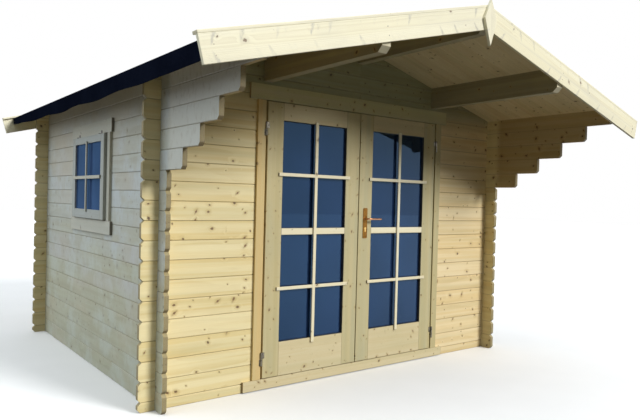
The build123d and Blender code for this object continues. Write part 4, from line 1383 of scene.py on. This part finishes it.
# Painted shade: a thin dark plate stands in for the shaded slot of the keyway.
keyway_shade = Metalwork("keyways")
for face_y, out in ((lock_low.y, -1), (lock_high.y, 1)):
    outline = [(lock_x + u, face_y, key_z + v) for u, v in keyway_outline]
    keyway_shade.plate(outline, (0, out * keyway_depth, 0), 0)
keyway_shade.show(dark_steel, "right_leaf", [], "brass")

# %% [markdown]
# ## Window hinges
# A window turns on small hinges at its upper edge: an upright plate on the frame, a level
# plate on the sash and a pin with three knuckles. A plain block would fill the same place,
# but its outline shows against the wall. Plates and turned pins give it, with two screws each.

# %% Pins and plates of the window hinges
pin_low, pin_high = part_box("window_hinges")
hinge_width, leaf_metal, ear, knuckle_radius, groove_radius = 0.030, 0.0025, 0.002, 0.0027, 0.0022
frame_gap, level_inset, knuckle_inset, knuckle_rise, screw_rise = 0.001, 0.0025, 0.0029, 0.0030, 0.016
knuckles = ((0.0004, 0.0090), (0.0103, 0.0197), (0.0210, 0.0296))
grooves = ((0.0093, 0.0100), (0.0200, 0.0207))
window_pin = sorted([(0.0, 0.0014), (hinge_width, 0.0014)]
                    + [(place, knuckle_radius) for pair in knuckles for place in pair]
                    + [(place, groove_radius) for pair in grooves for place in pair])
upright_plate = [(ear, 0.0), (hinge_width - ear, 0.0), (hinge_width - ear, 0.020),
                 (hinge_width - 0.006, 0.0258), (0.006, 0.0258), (ear, 0.020)]
window_pins, window_screws = Metalwork("window_pins"), []
for side, sign in sides:
    board = max(abs(corner.x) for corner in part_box(f"{side}_window_frame")) + fit
    level = (sign * (board + frame_gap), sign * (pin_high.x - level_inset))
    for y in (pin_low.y, pin_high.y - hinge_width):
        upright = [(sign * board, y + u, pin_low.z + v) for u, v in upright_plate]
        window_pins.plate(upright, (sign * leaf_metal, 0, 0))
        flat = [(x, place, pin_low.z) for x, place in rectangle(level, (y + ear, y + hinge_width - ear))]
        window_pins.plate(flat, (0, 0, leaf_metal))
        pin_foot = (sign * (pin_high.x - knuckle_inset), y, pin_low.z + knuckle_rise)
        window_pins.turn(pin_foot, (0, 1, 0), window_pin, 16)
        for share in (0.3, 0.7):
            screw_place = (sign * (board + leaf_metal), y + hinge_width * share, pin_low.z + screw_rise)
            window_screws.append((screw_place, (sign, 0, 0)))
window_pins.show(dark_steel, "root", ["window_hinges"], "zinc")

# %% [markdown]
# ## Screws and nails
# Screws hold the hinges, nails the bargeboards and the felt. Copying a head by hand would
# give rows of heads that all look the same way. Geometry Nodes place them: the points of a
# small mesh say where, a vector on each point says which way the head looks, and each head
# gets a random turn of its own.

# %% A tree that sets heads on points
def heads_tree(name, material):
    t = Tree(name, [("Head", "Object"), ("Seed", "Int")])
    head = t.node("GeometryNodeObjectInfo", {}, {"Object": t.given["Head"]}, "Geometry")
    facing = t.node("GeometryNodeInputNamedAttribute", {"data_type": "FLOAT_VECTOR"}, {"Name": "facing"})
    whole_turn = {"Max": 6.283, "Seed": t.given["Seed"]}
    spin = t.node("FunctionNodeRandomValue", {"data_type": "FLOAT"}, whole_turn, 1)
    upright = t.node("FunctionNodeAlignRotationToVector", {"axis": "Z"}, {"Vector": facing})
    turned = t.node("FunctionNodeRotateRotation", {"rotation_space": "LOCAL"},
                    {"Rotation": upright, "Rotate By": t.vector(0.0, 0.0, spin)})
    heads = t.node("GeometryNodeInstanceOnPoints", {},
                   {"Points": t.given["Geometry"], "Instance": head, "Rotation": turned})
    t.close(heads, material)
    return t


trees = {material: heads_tree(f"{material.name}_heads", material) for material in (zinc, brass, dark_steel)}
print("head tree takes", ", ".join(trees[zinc].keys))

# %% Heads of screws and nails
head_sides = 20


def head_form(name, radius, crossed):
    """A countersunk head with a cross, or a flat nail head, looking up from the origin."""
    form = bmesh.new()
    profile = ((1.0, 0.0), (1.0, 0.25), (0.93, 0.34), (0.62, 0.42), (0.30, 0.10 if crossed else 0.45))
    angles = [2 * math.pi * k / head_sides for k in range(head_sides)]
    circles = [[(reach * radius * math.cos(a), reach * radius * math.sin(a), lift * radius * 0.5)
                for a in angles] for reach, lift in profile]
    tip = skin_circles(form, circles)
    if crossed:
        for index, vertex in enumerate(tip):
            if index % 5 in (1, 4):
                vertex.co.xy *= 0.45
    return add_object(name, as_mesh(form, name))


def set_heads(name, places, head, material, seed, body="root"):
    """places: pairs of a point and the way that a head looks."""
    points = bpy.data.meshes.new(name)
    points.from_pydata([tuple(point) for point, _ in places], [], [])
    facing = [value for _, way in places for value in way]
    points.attributes.new("facing", "FLOAT_VECTOR", "POINT").data.foreach_set("vector", facing)
    heads = trees[material].grow(points, {"Head": head, "Seed": seed}, name)
    place_piece(name, heads, material, body, [])


screw = head_form("screw", 0.0030, crossed=True)
small_screw = head_form("small_screw", 0.0022, crossed=True)
nail = head_form("nail", 0.0026, crossed=False)
clout = head_form("clout", 0.0050, crossed=False)
print("four heads of", head_sides, "sides")

# %% Screws
for body, places in hinge_screws.items():
    set_heads(f"{body}_hinge_screws", places, small_screw, zinc, 4, body)
set_heads("window_hinge_screws", window_screws, screw, dark_steel, 9)
plate_low, plate_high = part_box("handle_plates")
screw_inset = 0.012
plate_screws = [((neck_x, face, z), (0, out, 0)) for face, out in ((plate_low.y, -1), (plate_high.y, 1))
                for z in (plate_low.z + screw_inset, plate_high.z - screw_inset)]
set_heads("plate_screws", plate_screws, screw, brass, 6, "right_leaf")

# %% Nails
nail_runs, nail_drops = (0.035, 0.82, 1.80), (-0.025, -0.070)
board_nails = []
for end, out in ends:
    for side, sign in sides:
        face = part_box(f"{end}_{side}_bargeboard")[out > 0].y
        board_nails += [(on_slope(sign, down, above, face), (0, out, 0))
                        for down in nail_runs for above in nail_drops]
set_heads("board_nails", board_nails, nail, zinc, 12)

nails_in_row, nail_margin, nail_inset = 38, 0.05, 0.022
nail_step = (felt_high.y - felt_low.y - 2 * nail_margin) / (nails_in_row - 1)
felt_nails = []
for _, sign in sides:
    for number in range(1, strips + 1):
        down = slope_length * number / strips - nail_inset
        for index in range(nails_in_row):
            place = on_slope(sign, down, felt_top - felt_seat, felt_low.y + nail_margin + index * nail_step)
            felt_nails.append((place, slope_ways(sign)[1]))
set_heads("clout_nails", felt_nails, clout, zinc, 15)
for head in (screw, small_screw, nail, clout):
    bpy.data.objects.remove(head)
